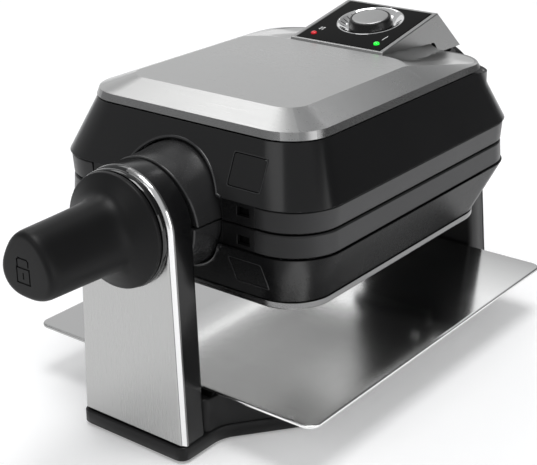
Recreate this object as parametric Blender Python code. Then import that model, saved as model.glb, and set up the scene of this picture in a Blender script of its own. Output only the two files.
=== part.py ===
"""Rotating waffle maker: a hinged two-half body that turns between two columns on a base.

All dimensions below are millimetres; meshes are written in metres.
X is to the right seen from the handle, Y runs from the handle to the rear, Z is up.
The body turns about a Y axis at height AXIS_Z. The upper half opens about the rear hinge pin.
"""
import math

import bmesh
import bpy
from mathutils import Matrix, Vector

MM = 0.001
TAU = 2.0 * math.pi
GAP = 0.3
SMOOTH_DEGREES = 35.0

# Rotation axis of the body, and the rear hinge of the upper half
AXIS_Z = 145.0
HINGE_Y = 172.0
HINGE_Z = 186.0
ROTOR_ORIGIN = (0.0, 0.0, AXIS_Z)
LID_ORIGIN = (0.0, HINGE_Y, HINGE_Z)

# Body halves, heights measured from the parting plane at AXIS_Z
BODY_WIDE = 103.0
BODY_FRONT = -95.0
BODY_REAR = 158.0
BODY_RADIUS = 34.0
CASING_LOW = 15.0
CASING_HIGH = 50.6
CASING_INSET = 15.5
CASING_WALL = 2.8
CASING_LEDGE = 9.0
CASING_RADIUS_DROP = 5.0
BAND_INSET = 1.4
BAND_WALL = 4.0
BAND_LOW = 0.4
BAND_HIGH = CASING_LOW - GAP

# Hub between the body and the front column
HUB_RADIUS = 37.0
HUB_FLARE = 38.6
HUB_BORE = 31.0
HUB_FRONT = -114.7
HUB_REAR = -74.5
HUB_OPENING = 39.4
HUB_SPLIT = 0.35
HUB_RELIEF = 3.3

# Covers
COVER_LIP_LOW = 50.9
COVER_LIP_HIGH = 55.5
COVER_TOP = 63.1
COVER_WIDE = 88.0
COVER_FRONT = -79.5
COVER_REAR = 142.5
COVER_RADIUS = 29.0
COVER_WALL = 1.4
PLATEAU_WIDE = 66.3
PLATEAU_FRONT = -58.2
PLATEAU_REAR_UPPER = 78.0
PLATEAU_REAR_LOWER = 121.0
PLATEAU_RADIUS = 15.0

# Control housing on the upper cover
HOUSING_HALF = 38.0
HOUSING_FRONT = (77.0, 61.0)
HOUSING_NOSE = (78.4, 63.7)
HOUSING_RIDGE = (148.4, 77.2)
HOUSING_TAIL = (178.6, 49.0)
HOUSING_HEEL = (144.2, 49.0)
HOUSING_STEP = (144.2, 52.5)
HOUSING_WALL = 2.0
PANEL_FRONT = 80.7
PANEL_REAR = 146.4
PANEL_HALF = 34.2
PANEL_DEEP = 1.8
DIAL_Y = 120.8
DISH_RADIUS = 23.8
DISH_FLOOR = -3.6
KNOB_RADIUS_LOW = 15.6
KNOB_RADIUS_HIGH = 14.2
KNOB_TOP = 3.0
DIAL_BORE = 4.2
LED_X = 26.0
LED_Y = 89.2
LED_RADIUS = 1.9

# Release buttons, on the drafted front wall
BUTTON_X = (43.2, 66.6)
BUTTON_LOW = 21.8
BUTTON_HIGH = 41.4
BUTTON_THICK = 3.0
WINDOW_X = (51.2, 60.2)
WINDOW_LOW = 6.2
WINDOW_HIGH = 11.8

# Waffle plates
PLATE_HALF = 90.0
PLATE_FRONT = -70.0
PLATE_REAR = 138.0
PLATE_FACE = 0.5
PLATE_FLOOR = 9.0
PLATE_BACK = 12.2
PLATE_RIM = 6.0
BOSS_TIP = 4.9
BOSSES_X = 4
BOSSES_Y = 6
BOSS_SHARE = 0.62
BOSS_TIP_SHARE = 0.42
REFLECTOR_LOW = 13.6
REFLECTOR_HIGH = 23.0
SHEET = 0.9

# Handle, shaft and lock
SHAFT_RADIUS = 14.0
SHAFT_BORE = 8.0
SHAFT_FRONT = -152.0
SHAFT_REAR = -76.0
SHAFT_DISC = 30.0
BOLT_RADIUS = 6.5
RING_RADIUS = 36.5
GRIP_END = -210.5
GRIP_BORE = 14.6
GRIP_LOBE = 0.075

# Columns
COLUMN_TOP_HALF = 37.0
COLUMN_FOOT_HALF = 41.8
COLUMN_FOOT_Z = 11.3
COLUMN_REAR_Y = -115.0
COLUMN_FRONT_Y = -131.0
SHELL_FRONT_Y = -135.6
COLUMN_WALL = 2.6
REAR_TOP_HALF = 42.5
REAR_FOOT_HALF = 55.0
REAR_FRONT_Y = 188.0
REAR_BACK_Y = 207.6
REAR_COVER_Y = 210.5
REAR_FOOT_Z = 12.3
BEARING_RADIUS = 19.0

# Base and tray
FEET_TALL = 1.5
BASE_HALF = 80.0
BASE_LEDGE_Z = 11.0
BASE_TOP_Z = 33.0
BASE_WALL = 2.6
TRAY_TOP = 36.6
TRAY_HALF = 114.6
TRAY_FRONT = -105.0
TRAY_REAR = 185.0
TRAY_RADIUS = 8.0
TRAY_HEM = 1.9
FOOT_RADIUS = 9.0
FOOT_SPOTS = ((-62.0, -44.0), (62.0, -44.0), (-62.0, 120.0), (62.0, 120.0))
PAD_SPOTS = ((-36.0, -100.0), (36.0, -100.0), (-36.0, 180.0), (36.0, 180.0))

MATERIALS = {
    "gloss_black": ((0.012, 0.012, 0.013), 0.16, 0.0),
    "black_plastic": ((0.02, 0.02, 0.021), 0.42, 0.0),
    "soft_touch": ((0.016, 0.016, 0.017), 0.62, 0.0),
    "brushed_steel": ((0.62, 0.62, 0.61), 0.3, 1.0),
    "satin_frame": ((0.12, 0.12, 0.125), 0.4, 0.7),
    "cast_aluminium": ((0.09, 0.09, 0.095), 0.5, 0.6),
    "chrome": ((0.8, 0.8, 0.8), 0.1, 1.0),
    "machined_steel": ((0.5, 0.5, 0.5), 0.35, 1.0),
    "rubber": ((0.03, 0.03, 0.03), 0.8, 0.0),
    "panel_black": ((0.01, 0.01, 0.01), 0.25, 0.0),
    "lens_red": ((0.7, 0.02, 0.02), 0.2, 0.0),
    "lens_green": ((0.03, 0.6, 0.08), 0.2, 0.0),
}


def clear_scene():
    for item in list(bpy.data.objects):
        bpy.data.objects.remove(item, do_unlink=True)


def material(slot):
    found = bpy.data.materials.get(slot)
    if found is not None:
        return found
    colour, roughness, metallic = MATERIALS[slot]
    made = bpy.data.materials.new(slot)
    made.use_nodes = True
    shader = made.node_tree.nodes["Principled BSDF"]
    shader.inputs["Base Color"].default_value = (*colour, 1.0)
    shader.inputs["Roughness"].default_value = roughness
    shader.inputs["Metallic"].default_value = metallic
    made.diffuse_color = (*colour, 1.0)
    return made


def build(name, shape, slot, origin=(0.0, 0.0, 0.0), smooth=True):
    """Make one object from (points, faces) given in millimetres in the shared frame."""
    points, faces = shape
    base = Vector(origin)
    mesh = bpy.data.meshes.new(name)
    mesh.from_pydata([(Vector(p) - base) * MM for p in points], [], faces)
    work = bmesh.new()
    work.from_mesh(mesh)
    bmesh.ops.remove_doubles(work, verts=work.verts, dist=1e-6)
    bmesh.ops.recalc_face_normals(work, faces=work.faces)
    work.to_mesh(mesh)
    work.free()
    made = bpy.data.objects.new(name, mesh)
    made.location = base * MM
    bpy.context.scene.collection.objects.link(made)
    if slot is not None:
        mesh.materials.append(material(slot))
    if smooth:
        smooth_by_angle(mesh)
    return made


def smooth_by_angle(mesh, limit=math.radians(SMOOTH_DEGREES)):
    """Shade smooth, keeping every edge sharper than the limit as a hard edge."""
    mesh.shade_smooth()
    work = bmesh.new()
    work.from_mesh(mesh)
    for edge in work.edges:
        if len(edge.link_faces) == 2:
            edge.smooth = edge.calc_face_angle(0.0) < limit
    work.to_mesh(mesh)
    work.free()


def guide(name, shape):
    """A cutter or joining volume: never rendered and never exported."""
    made = build(name, shape, None, smooth=False)
    made.hide_render = True
    made.display_type = "WIRE"
    return made


def combine(target, tool, operation):
    step = target.modifiers.new(tool.name, "BOOLEAN")
    step.operation = operation
    step.solver = "EXACT"
    step.object = tool


def cut(target, *tools):
    for tool in tools:
        combine(target, tool, "DIFFERENCE")


def join(target, *tools):
    for tool in tools:
        combine(target, tool, "UNION")


# ---------------------------------------------------------------- shape helpers

def loft(rings, closed=False):
    """Skin equal-length rings; ends are capped unless the rings close on themselves."""
    count = len(rings[0])
    points = [point for ring in rings for point in ring]
    faces = []
    spans = len(rings) if closed else len(rings) - 1
    for span in range(spans):
        here = span * count
        there = ((span + 1) % len(rings)) * count
        for index in range(count):
            after = (index + 1) % count
            faces.append((here + index, here + after, there + after, there + index))
    if not closed:
        faces.append(tuple(range(count)))
        faces.append(tuple(range(len(points) - count, len(points))))
    return points, faces


def rounded(half_x, front, rear, radius, z, steps=5):
    """Rounded rectangle in the XY plane at height z."""
    corners = (
        (half_x - radius, front + radius, -0.25),
        (half_x - radius, rear - radius, 0.0),
        (-half_x + radius, rear - radius, 0.25),
        (-half_x + radius, front + radius, 0.5),
    )
    ring = []
    for centre_x, centre_y, start in corners:
        for step in range(steps + 1):
            angle = TAU * (start + 0.25 * step / steps)
            ring.append((centre_x + radius * math.cos(angle), centre_y + radius * math.sin(angle), z))
    return ring


def circle(radius, y, count=32, x=0.0, z=AXIS_Z):
    """Circle round a Y-parallel axis."""
    return [
        (x + radius * math.cos(TAU * i / count), y, z + radius * math.sin(TAU * i / count))
        for i in range(count)
    ]


def turned(profile, count=32, closed=False, x=0.0, z=AXIS_Z):
    """Solid of revolution round a Y-parallel axis from (radius, y) pairs."""
    return loft([circle(radius, y, count, x, z) for radius, y in profile], closed)


def upright(profile, x, y, count=20):
    """Solid of revolution round a vertical axis from (radius, z) pairs."""
    rings = []
    for radius, z in profile:
        rings.append([
            (x + radius * math.cos(TAU * i / count), y + radius * math.sin(TAU * i / count), z)
            for i in range(count)
        ])
    return loft(rings)


def crosswise(radius, x0, x1, y, z, count=16):
    """Rod along X."""
    rings = []
    for x in (x0, x1):
        rings.append([
            (x, y + radius * math.cos(TAU * i / count), z + radius * math.sin(TAU * i / count))
            for i in range(count)
        ])
    return loft(rings)


def box(x, y, z):
    """Axis-aligned block from three (low, high) pairs."""
    ring = [(x[0], y[0]), (x[1], y[0]), (x[1], y[1]), (x[0], y[1])]
    return loft([[(px, py, height) for px, py in ring] for height in z])


def prism(half_x, side):
    """Extrude a (y, z) outline between -half_x and +half_x."""
    return loft([[(x, y, z) for y, z in side] for x in (-half_x, half_x)])


def pan(name, outer, inner, slot, origin):
    """Closed shell between an outer and an inner stack of rings sharing an open rim."""
    points, faces = loft(outer)
    count = len(outer[0])
    rim = list(range(count))
    faces.remove(tuple(rim))
    inner_points, inner_faces = loft(inner)
    inner_faces.remove(tuple(rim))
    offset = len(points)
    points = points + inner_points
    faces += [tuple(index + offset for index in face) for face in inner_faces]
    for index in rim:
        after = (index + 1) % count
        faces.append((index, after, offset + after, offset + index))
    return build(name, (points, faces), slot, origin)


def placed(shape, matrix):
    points, faces = shape
    return [tuple(matrix @ Vector(point)) for point in points], faces


def half_z(sign, height):
    """World height of a point of the upper (+1) or lower (-1) half."""
    return AXIS_Z + sign * height


def title(sign):
    return "upper" if sign > 0 else "lower"


def origin_of(sign):
    return LID_ORIGIN if sign > 0 else ROTOR_ORIGIN


# ---------------------------------------------------------------- body halves

def casing_ring(inset, height, sign, shrink=0.0):
    return rounded(
        BODY_WIDE - inset,
        BODY_FRONT + inset,
        BODY_REAR - inset,
        max(BODY_RADIUS - CASING_RADIUS_DROP * inset / CASING_INSET - shrink, 6.0),
        half_z(sign, height),
    )


def casing(sign):
    under = CASING_HIGH - CASING_WALL
    slope = CASING_INSET / (CASING_HIGH - CASING_LOW)
    top_inner = slope * (under - CASING_LOW) + CASING_WALL
    rings = [
        casing_ring(0.0, CASING_LOW, sign),
        casing_ring(CASING_INSET, CASING_HIGH, sign),
        casing_ring(CASING_INSET + CASING_LEDGE, CASING_HIGH, sign, CASING_LEDGE),
        casing_ring(CASING_INSET + CASING_LEDGE, under, sign, CASING_LEDGE),
        casing_ring(top_inner, under, sign, CASING_WALL),
        casing_ring(CASING_WALL, CASING_LOW, sign, CASING_WALL),
    ]
    body = build(title(sign) + "_casing", loft(rings, closed=True), "gloss_black", origin_of(sign))
    opening = turned([(HUB_OPENING, BODY_FRONT - 6.0), (HUB_OPENING, -66.0)], 40)
    cut(body, guide(title(sign) + "_casing_hub_cut", opening))
    cut(body, guide(title(sign) + "_casing_button_cut", button_block(sign, 0.5, -9.0, 6.0)))
    return body


def button_frame(sign):
    """Frame of a release button: x right, y out of the wall, z up the wall."""
    middle = 0.5 * (BUTTON_LOW + BUTTON_HIGH)
    slope = CASING_INSET / (CASING_HIGH - CASING_LOW)
    wall_y = BODY_FRONT + slope * (middle - CASING_LOW)
    centre_x = 0.5 * (BUTTON_X[0] + BUTTON_X[1])
    lean = math.atan(slope)
    place = Matrix.Translation((centre_x, wall_y, half_z(sign, middle)))
    return place @ Matrix.Rotation(-sign * lean, 4, "X")


def button_block(sign, grow, inner, outer):
    half_x = 0.5 * (BUTTON_X[1] - BUTTON_X[0]) + grow
    half_h = 0.5 * (BUTTON_HIGH - BUTTON_LOW) + grow
    shape = box((-half_x, half_x), (-outer, -inner), (-half_h, half_h))
    return placed(shape, button_frame(sign))


def release_button(sign):
    """Square push button with a rounded stem ending in the casing."""
    half_x = 0.5 * (BUTTON_X[1] - BUTTON_X[0])
    half_h = 0.5 * (BUTTON_HIGH - BUTTON_LOW)
    rings = []
    for grow, y in ((-0.9, -0.1), (0.0, 0.6), (0.0, BUTTON_THICK), (-6.0, BUTTON_THICK), (-6.0, 9.0)):
        rings.append([
            (half_x + grow, y, half_h + grow),
            (-half_x - grow, y, half_h + grow),
            (-half_x - grow, y, -half_h - grow),
            (half_x + grow, y, -half_h - grow),
        ])
    frame = button_frame(sign)
    name = title(sign) + "_release_button"
    origin = frame @ Vector((0.0, 0.0, 0.0))
    return build(name, placed(loft(rings), frame), "gloss_black", tuple(origin), smooth=False)


def band_ring(inset, height, sign):
    return rounded(
        BODY_WIDE - BAND_INSET - inset,
        BODY_FRONT + BAND_INSET + inset,
        BODY_REAR - BAND_INSET - inset,
        BODY_RADIUS - BAND_INSET - inset,
        half_z(sign, height),
    )


def band(sign):
    """Metal frame round one waffle plate, open where the hub passes."""
    rings = [
        band_ring(0.0, BAND_LOW, sign),
        band_ring(0.0, BAND_HIGH - 1.6, sign),
        band_ring(1.2, BAND_HIGH, sign),
        band_ring(BAND_WALL, BAND_HIGH, sign),
        band_ring(BAND_WALL, BAND_LOW, sign),
    ]
    body = build(title(sign) + "_frame", loft(rings, closed=True), "satin_frame", origin_of(sign))
    opening = turned([(HUB_OPENING, BODY_FRONT - 6.0), (HUB_OPENING, -66.0)], 40)
    cut(body, guide(title(sign) + "_frame_hub_cut", opening))
    for side in (-1, 1):
        xs = sorted((side * WINDOW_X[0], side * WINDOW_X[1]))
        zs = sorted((half_z(sign, WINDOW_LOW), half_z(sign, WINDOW_HIGH)))
        tool = box(xs, (BODY_FRONT - 4.0, BODY_FRONT + 10.0), zs)
        cut(body, guide(title(sign) + "_frame_window_" + ("left" if side < 0 else "right"), tool))
    return body


def latch(sign):
    """Plate latch bar behind the frame window, moved sideways by the release button."""
    zs = sorted((half_z(sign, WINDOW_LOW - 1.2), half_z(sign, WINDOW_HIGH + 1.0)))
    bar = box((45.0, 72.0), (BODY_FRONT + 6.2, BODY_FRONT + 9.2), zs)
    return build(title(sign) + "_plate_latch", bar, "machined_steel", (58.5, -87.0, half_z(sign, 9.0)), False)


def plate_breaks(low, high, rim, groups, bosses):
    """Grid lines with their zone: 0 rim, 1 floor, 2 boss foot, 3 boss tip."""
    lines = [(low, 0), (low + rim, 0), (low + rim + 0.8, 1)]
    inner_low = low + rim + 0.8
    inner_high = high - rim - 0.8
    divider = 5.0
    span = (inner_high - inner_low - divider * (groups - 1)) / groups
    for group in range(groups):
        start = inner_low + group * (span + divider)
        pitch = span / bosses
        for boss in range(bosses):
            middle = start + pitch * (boss + 0.5)
            foot = 0.5 * BOSS_SHARE * pitch
            tip = 0.5 * BOSS_TIP_SHARE * pitch
            lines += [(middle - foot, 1), (middle - tip, 3), (middle + tip, 3), (middle + foot, 1)]
        if group < groups - 1:
            edge = start + span
            lines += [(edge, 1), (edge + 0.8, 0), (edge + divider - 0.8, 0), (edge + divider, 1)]
    lines += [(inner_high, 1), (high - rim, 0), (high, 0)]
    return lines


def waffle_plate(sign):
    """Cast plate: rim, dividing ribs and rows of tapered bosses, closed by a flat back."""
    across = plate_breaks(-PLATE_HALF, PLATE_HALF, PLATE_RIM, 2, BOSSES_X // 2)
    along = plate_breaks(PLATE_FRONT, PLATE_REAR, PLATE_RIM, 2, BOSSES_Y // 2)
    points = []
    for y, zone_y in along:
        for x, zone_x in across:
            if zone_x == 0 or zone_y == 0:
                height = PLATE_FACE
            elif zone_x == 3 and zone_y == 3:
                height = BOSS_TIP
            else:
                height = PLATE_FLOOR
            points.append((x, y, half_z(sign, height)))
    wide = len(across)
    tall = len(along)
    faces = []
    for row in range(tall - 1):
        for column in range(wide - 1):
            corner = row * wide + column
            faces.append((corner, corner + 1, corner + 1 + wide, corner + wide))
    border = [column for column in range(wide)]
    border += [row * wide + wide - 1 for row in range(1, tall)]
    border += [(tall - 1) * wide + column for column in range(wide - 2, -1, -1)]
    border += [row * wide for row in range(tall - 2, 0, -1)]
    first_back = len(points)
    for index in border:
        x, y, _ = points[index]
        points.append((x, y, half_z(sign, PLATE_BACK)))
    for step in range(len(border)):
        after = (step + 1) % len(border)
        faces.append((border[step], border[after], first_back + after, first_back + step))
    faces.append(tuple(range(first_back, len(points))))
    return build(title(sign) + "_waffle_plate", (points, faces), "cast_aluminium", origin_of(sign), False)


def tube_along(path, radius, count=8):
    """Round bar following a planar path at constant z."""
    rings = []
    for index, point in enumerate(path):
        before = Vector(path[max(index - 1, 0)])
        after = Vector(path[min(index + 1, len(path) - 1)])
        ahead = (after - before).normalized()
        side = Vector((-ahead.y, ahead.x, 0.0))
        rings.append([
            tuple(Vector(point) + side * (radius * math.cos(TAU * i / count))
                  + Vector((0.0, 0.0, radius * math.sin(TAU * i / count))))
            for i in range(count)
        ])
    return loft(rings)


def heater(sign):
    """U-shaped sheathed heating element lying behind the waffle plate."""
    z = half_z(sign, 16.2)
    bend = 52.0
    path = [(-bend, 128.0, z), (-bend, -4.0, z)]
    for step in range(1, 8):
        angle = math.pi * step / 8
        path.append((-bend * math.cos(angle), -4.0 - bend * 0.8 * math.sin(angle), z))
    path += [(bend, -4.0, z), (bend, 128.0, z)]
    return build(title(sign) + "_heater", tube_along(path, 3.2), "machined_steel", origin_of(sign))


def reflector(sign):
    """Thin pan between the heater and the casing."""
    def ring(inset, height):
        return rounded(86.0 - inset, -66.0 + inset, 143.0 - inset, 16.0 - inset, half_z(sign, height), 3)
    outer = [ring(0.0, REFLECTOR_LOW), ring(3.0, REFLECTOR_HIGH)]
    inner = [ring(SHEET, REFLECTOR_LOW), ring(3.0 + SHEET, REFLECTOR_HIGH - SHEET)]
    return pan(title(sign) + "_reflector", outer, inner, "machined_steel", origin_of(sign))


def hub_half(sign):
    """Half of the split hub on the front column side; the upper one is relieved to swing open."""
    steps = 20
    profile = (
        (HUB_RADIUS, HUB_FRONT), (HUB_RADIUS, -98.0), (HUB_FLARE, -88.0), (HUB_FLARE, HUB_REAR),
        (HUB_BORE, HUB_REAR), (HUB_BORE, HUB_FRONT),
    )
    rings = []
    for step in range(steps + 1):
        angle = math.pi * step / steps
        ring = []
        for radius, y in profile:
            drop = HUB_SPLIT / radius
            bent = drop + (math.pi - 2.0 * drop) * angle / math.pi
            height = radius * math.sin(bent)
            if sign > 0 and y == HUB_FRONT:
                y += HUB_RELIEF * ((HINGE_Z - AXIS_Z - height) / (HINGE_Z - AXIS_Z)) ** 2
            ring.append((radius * math.cos(bent), y, half_z(sign, height)))
        rings.append(ring)
    return build(title(sign) + "_hub", loft(rings), "gloss_black", origin_of(sign))


# ---------------------------------------------------------------- covers

def cover_shape(sign, inset, plateau_rear):
    rise = inset
    rings = [
        rounded(COVER_WIDE - inset, COVER_FRONT + inset, COVER_REAR - inset, COVER_RADIUS - inset,
                half_z(sign, COVER_LIP_LOW)),
        rounded(COVER_WIDE - 1.4 - inset, COVER_FRONT + 1.4 + inset, COVER_REAR - 1.4 - inset,
                COVER_RADIUS - 1.4 - inset, half_z(sign, COVER_LIP_HIGH - rise)),
        rounded(PLATEAU_WIDE - inset, PLATEAU_FRONT + inset, plateau_rear - inset, PLATEAU_RADIUS - inset,
                half_z(sign, COVER_TOP - rise)),
    ]
    return rings


def housing_outline():
    """Side outline (y, z) of the control housing."""
    corners = (HOUSING_FRONT, HOUSING_NOSE, HOUSING_RIDGE, HOUSING_TAIL, HOUSING_HEEL, HOUSING_STEP)
    return [(y, AXIS_Z + z) for y, z in corners]


def panel_frame():
    """Frame of the control panel: origin at its front edge, y up the slope, z out of it."""
    slope = panel_slope()
    height = AXIS_Z + HOUSING_NOSE[1] + math.tan(slope) * (PANEL_FRONT - HOUSING_NOSE[0])
    return Matrix.Translation((0.0, PANEL_FRONT, height)) @ Matrix.Rotation(slope, 4, "X")


def panel_slope():
    return math.atan2(HOUSING_RIDGE[1] - HOUSING_NOSE[1], HOUSING_RIDGE[0] - HOUSING_NOSE[0])


def up_slope(y):
    """Distance along the panel of a point given by its y in the shared frame."""
    return (y - PANEL_FRONT) / math.cos(panel_slope())


def on_panel(profile, x, y, count=32):
    """Solid of revolution standing on the control panel."""
    return placed(upright(profile, x, up_slope(y), count), panel_frame())


def upper_cover():
    """Steel top: lip, sloping facets and plateau, with the control housing at the rear."""
    outer = cover_shape(1, 0.0, PLATEAU_REAR_UPPER)
    body = build("upper_cover", loft(outer), "brushed_steel", LID_ORIGIN)
    join(body, guide("upper_cover_housing", prism(HOUSING_HALF, housing_outline())))
    inner = cover_shape(1, COVER_WALL, PLATEAU_REAR_UPPER)
    inner[0] = [(x, y, z - 2.0) for x, y, z in inner[0]]
    cut(body, guide("upper_cover_hollow", loft(inner)))
    hollow = (
        (100.0, AXIS_Z + 49.0), (100.0, AXIS_Z + 63.5), (149.0, AXIS_Z + 71.9),
        (168.0, AXIS_Z + 52.0), (140.0, AXIS_Z + 52.0), (138.0, AXIS_Z + 49.0),
    )
    cut(body, guide("upper_cover_housing_hollow", prism(HOUSING_HALF - HOUSING_WALL, hollow)))
    length = up_slope(PANEL_REAR)
    pocket = box((-PANEL_HALF - GAP, PANEL_HALF + GAP), (-GAP, length + GAP), (-PANEL_DEEP, 6.0))
    cut(body, guide("upper_cover_panel_pocket", placed(pocket, panel_frame())))
    dish_hole = on_panel([(DISH_RADIUS + GAP, -9.0), (DISH_RADIUS + GAP, 6.0)], 0.0, DIAL_Y)
    cut(body, guide("upper_cover_dish_hole", dish_hole))
    return body


def lower_cover():
    outer = cover_shape(-1, 0.0, PLATEAU_REAR_LOWER)
    inner = cover_shape(-1, COVER_WALL, PLATEAU_REAR_LOWER)
    return pan("lower_cover", outer, inner, "brushed_steel", ROTOR_ORIGIN)


# ---------------------------------------------------------------- controls

def control_panel():
    length = up_slope(PANEL_REAR)
    plate = box((-PANEL_HALF, PANEL_HALF), (0.0, length), (-PANEL_DEEP + GAP, 0.0))
    body = build("control_panel", placed(plate, panel_frame()), "panel_black", LID_ORIGIN, False)
    dish_hole = on_panel([(DISH_RADIUS + GAP, -4.0), (DISH_RADIUS + GAP, 4.0)], 0.0, DIAL_Y)
    cut(body, guide("control_panel_dish_hole", dish_hole))
    for side, label in ((-1, "left"), (1, "right")):
        well = on_panel([(LED_RADIUS + GAP, -1.0), (LED_RADIUS + GAP, 4.0)], side * LED_X, LED_Y, 16)
        cut(body, guide("control_panel_light_" + label, well))
    return body


def dial_dish():
    """Chrome bowl sunk in the panel round the dial."""
    profile = ((DISH_RADIUS, -1.4), (DISH_RADIUS, 0.3), (DISH_RADIUS - 0.8, 0.3), (DISH_RADIUS - 1.4, -0.2),
               (17.2, DISH_FLOOR), (DIAL_BORE + 1.4, DISH_FLOOR), (DIAL_BORE + 1.4, DISH_FLOOR - 1.0),
               (17.6, DISH_FLOOR - 1.0))
    rings = []
    for radius, z in profile:
        rings.append([
            (radius * math.cos(TAU * i / 32), up_slope(DIAL_Y) + radius * math.sin(TAU * i / 32), z)
            for i in range(32)
        ])
    return build("dial_dish", placed(loft(rings, closed=True), panel_frame()), "chrome", LID_ORIGIN)


def dial_origin(height):
    return tuple(panel_frame() @ Vector((0.0, up_slope(DIAL_Y), height)))


def dial_knob():
    low = DISH_FLOOR + GAP
    profile = [(DIAL_BORE, -9.0), (DIAL_BORE, low), (KNOB_RADIUS_LOW, low), (KNOB_RADIUS_LOW - 0.2, low + 0.7),
               (KNOB_RADIUS_HIGH + 0.5, KNOB_TOP - 0.6), (KNOB_RADIUS_HIGH, KNOB_TOP),
               (KNOB_RADIUS_HIGH - 1.2, KNOB_TOP), (KNOB_RADIUS_HIGH - 1.2, KNOB_TOP - 0.8)]
    return build("dial_knob", on_panel(profile, 0.0, DIAL_Y), "black_plastic", dial_origin(0.0))


def dial_cap():
    radius = KNOB_RADIUS_HIGH - 1.2 - GAP
    profile = [(radius, KNOB_TOP - 0.5), (radius, KNOB_TOP + 0.1), (radius - 0.4, KNOB_TOP + 0.4)]
    return build("dial_cap", on_panel(profile, 0.0, DIAL_Y), "machined_steel", dial_origin(0.0))


def light(name, side, slot):
    profile = [(LED_RADIUS, -0.7), (LED_RADIUS, 0.3), (LED_RADIUS * 0.7, 0.8), (LED_RADIUS * 0.25, 1.0)]
    return build(name, on_panel(profile, side * LED_X, LED_Y, 16), slot, LID_ORIGIN)


def thermostat():
    """Thermostat can hanging under the dial inside the housing."""
    top = DISH_FLOOR - 1.0 - GAP
    profile = [(9.5, top - 5.0), (9.5, top - 0.6), (5.6, top)]
    body = build("thermostat", on_panel(profile, 0.0, DIAL_Y, 20), "machined_steel", LID_ORIGIN)
    bore = on_panel([(DIAL_BORE + GAP, -12.0), (DIAL_BORE + GAP, 0.0)], 0.0, DIAL_Y, 16)
    cut(body, guide("thermostat_bore", bore))
    return body


# ---------------------------------------------------------------- handle and shaft

def lobed(radius, lobe, y, count=36):
    """Rounded-triangle ring with one corner up."""
    ring = []
    for i in range(count):
        angle = TAU * i / count
        reach = radius * (1.0 + lobe * math.cos(3.0 * (angle - 0.25 * TAU)))
        ring.append((reach * math.cos(angle), y, AXIS_Z + reach * math.sin(angle)))
    return ring


def handle_grip():
    """Soft-touch grip with a trumpet flange, hollow for the shaft."""
    stations = (
        (33.8, 0.0, -140.3), (35.0, 0.0, -141.0), (35.0, 0.0, -143.4), (34.2, 0.0, -144.3),
        (29.6, 0.05, -147.0), (26.2, 0.25, -149.3), (23.4, 0.6, -152.6), (22.0, 0.9, -157.2),
        (21.3, 1.0, -164.0),
        (20.6, 1.0, -185.0), (20.1, 1.0, -205.5), (19.2, 1.0, -208.6), (17.4, 1.0, GRIP_END + 0.1),
    )
    outer = [lobed(radius, share * GRIP_LOBE, y) for radius, share, y in stations]
    inner = [lobed(GRIP_BORE, 0.0, -140.3), lobed(GRIP_BORE, 0.0, -198.0)]
    body = pan("handle_grip", outer, inner, "soft_touch", (0.0, -141.0, AXIS_Z))
    badge = turned([(12.4, GRIP_END - 3.0), (12.4, GRIP_END + 1.4)], 32)
    cut(body, guide("handle_grip_badge_well", badge))
    return body


def handle_badge():
    shape = turned([(12.1, GRIP_END + 1.1), (12.1, GRIP_END + 0.4), (11.6, GRIP_END)], 32)
    return build("handle_badge", shape, "black_plastic", (0.0, GRIP_END, AXIS_Z))


def lock_bolt():
    """Bolt joined to the grip that runs inside the hollow shaft."""
    shape = turned([(BOLT_RADIUS - 1.0, -77.0), (BOLT_RADIUS, -79.0), (BOLT_RADIUS, -160.5),
                    (GRIP_BORE - GAP, -160.5), (GRIP_BORE - GAP, -197.7)], 24)
    return build("lock_bolt", shape, "machined_steel", (0.0, -141.0, AXIS_Z))


def front_shaft():
    """Hollow shaft through the front column, with the disc that drives the lower half."""
    shape = turned([
        (SHAFT_RADIUS, SHAFT_FRONT), (SHAFT_RADIUS, -88.0), (SHAFT_DISC, -86.0), (SHAFT_DISC, SHAFT_REAR),
        (SHAFT_BORE, SHAFT_REAR), (SHAFT_BORE, SHAFT_FRONT),
    ], 32, closed=True)
    return build("front_shaft", shape, "machined_steel", ROTOR_ORIGIN)


def collar_ring():
    """Gloss disc between the handle flange and the front column."""
    shape = turned([
        (RING_RADIUS, -139.2), (RING_RADIUS, -136.6), (RING_RADIUS - 0.8, -136.0),
        (SHAFT_RADIUS + GAP, -136.0), (SHAFT_RADIUS + GAP, -140.0), (RING_RADIUS - 0.8, -140.0),
    ], 40, closed=True)
    return build("handle_collar", shape, "gloss_black", ROTOR_ORIGIN)


def bearing(name, front, rear, bore):
    shape = turned([(BEARING_RADIUS, front), (BEARING_RADIUS, rear), (bore, rear), (bore, front)], 28, closed=True)
    return build(name, shape, "machined_steel", (0.0, front, AXIS_Z))


def rear_carrier():
    """Rear hub of the lower half with the two arms that hold the hinge pin."""
    y = (166.2, 177.8)
    hub = turned([(30.0, 159.2), (30.0, 184.0), (20.0, 185.6)], 32)
    body = build("rear_carrier", hub, "black_plastic", ROTOR_ORIGIN)
    join(body, guide("rear_carrier_bar", box((-38.0, 38.0), y, (118.0, 158.0))))
    for side in (-1, 1):
        xs = sorted((side * 24.0, side * 37.6))
        label = "left" if side < 0 else "right"
        arm = box(xs, y, (140.0, HINGE_Z))
        join(body, guide("rear_carrier_arm_" + label, arm))
        join(body, guide("rear_carrier_eye_" + label, crosswise(5.8, xs[0], xs[1], HINGE_Y, HINGE_Z, 20)))
    cut(body, guide("rear_carrier_pin_hole", crosswise(2.8, -42.0, 42.0, HINGE_Y, HINGE_Z, 12)))
    foot = box((-34.0, 34.0), (158.3, 166.4), (92.0, 128.0))
    join(body, guide("rear_carrier_foot", foot))
    return body


def hinge_pin():
    return build("hinge_pin", crosswise(2.5, -37.4, 37.4, HINGE_Y, HINGE_Z, 12), "machined_steel", LID_ORIGIN)


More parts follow.
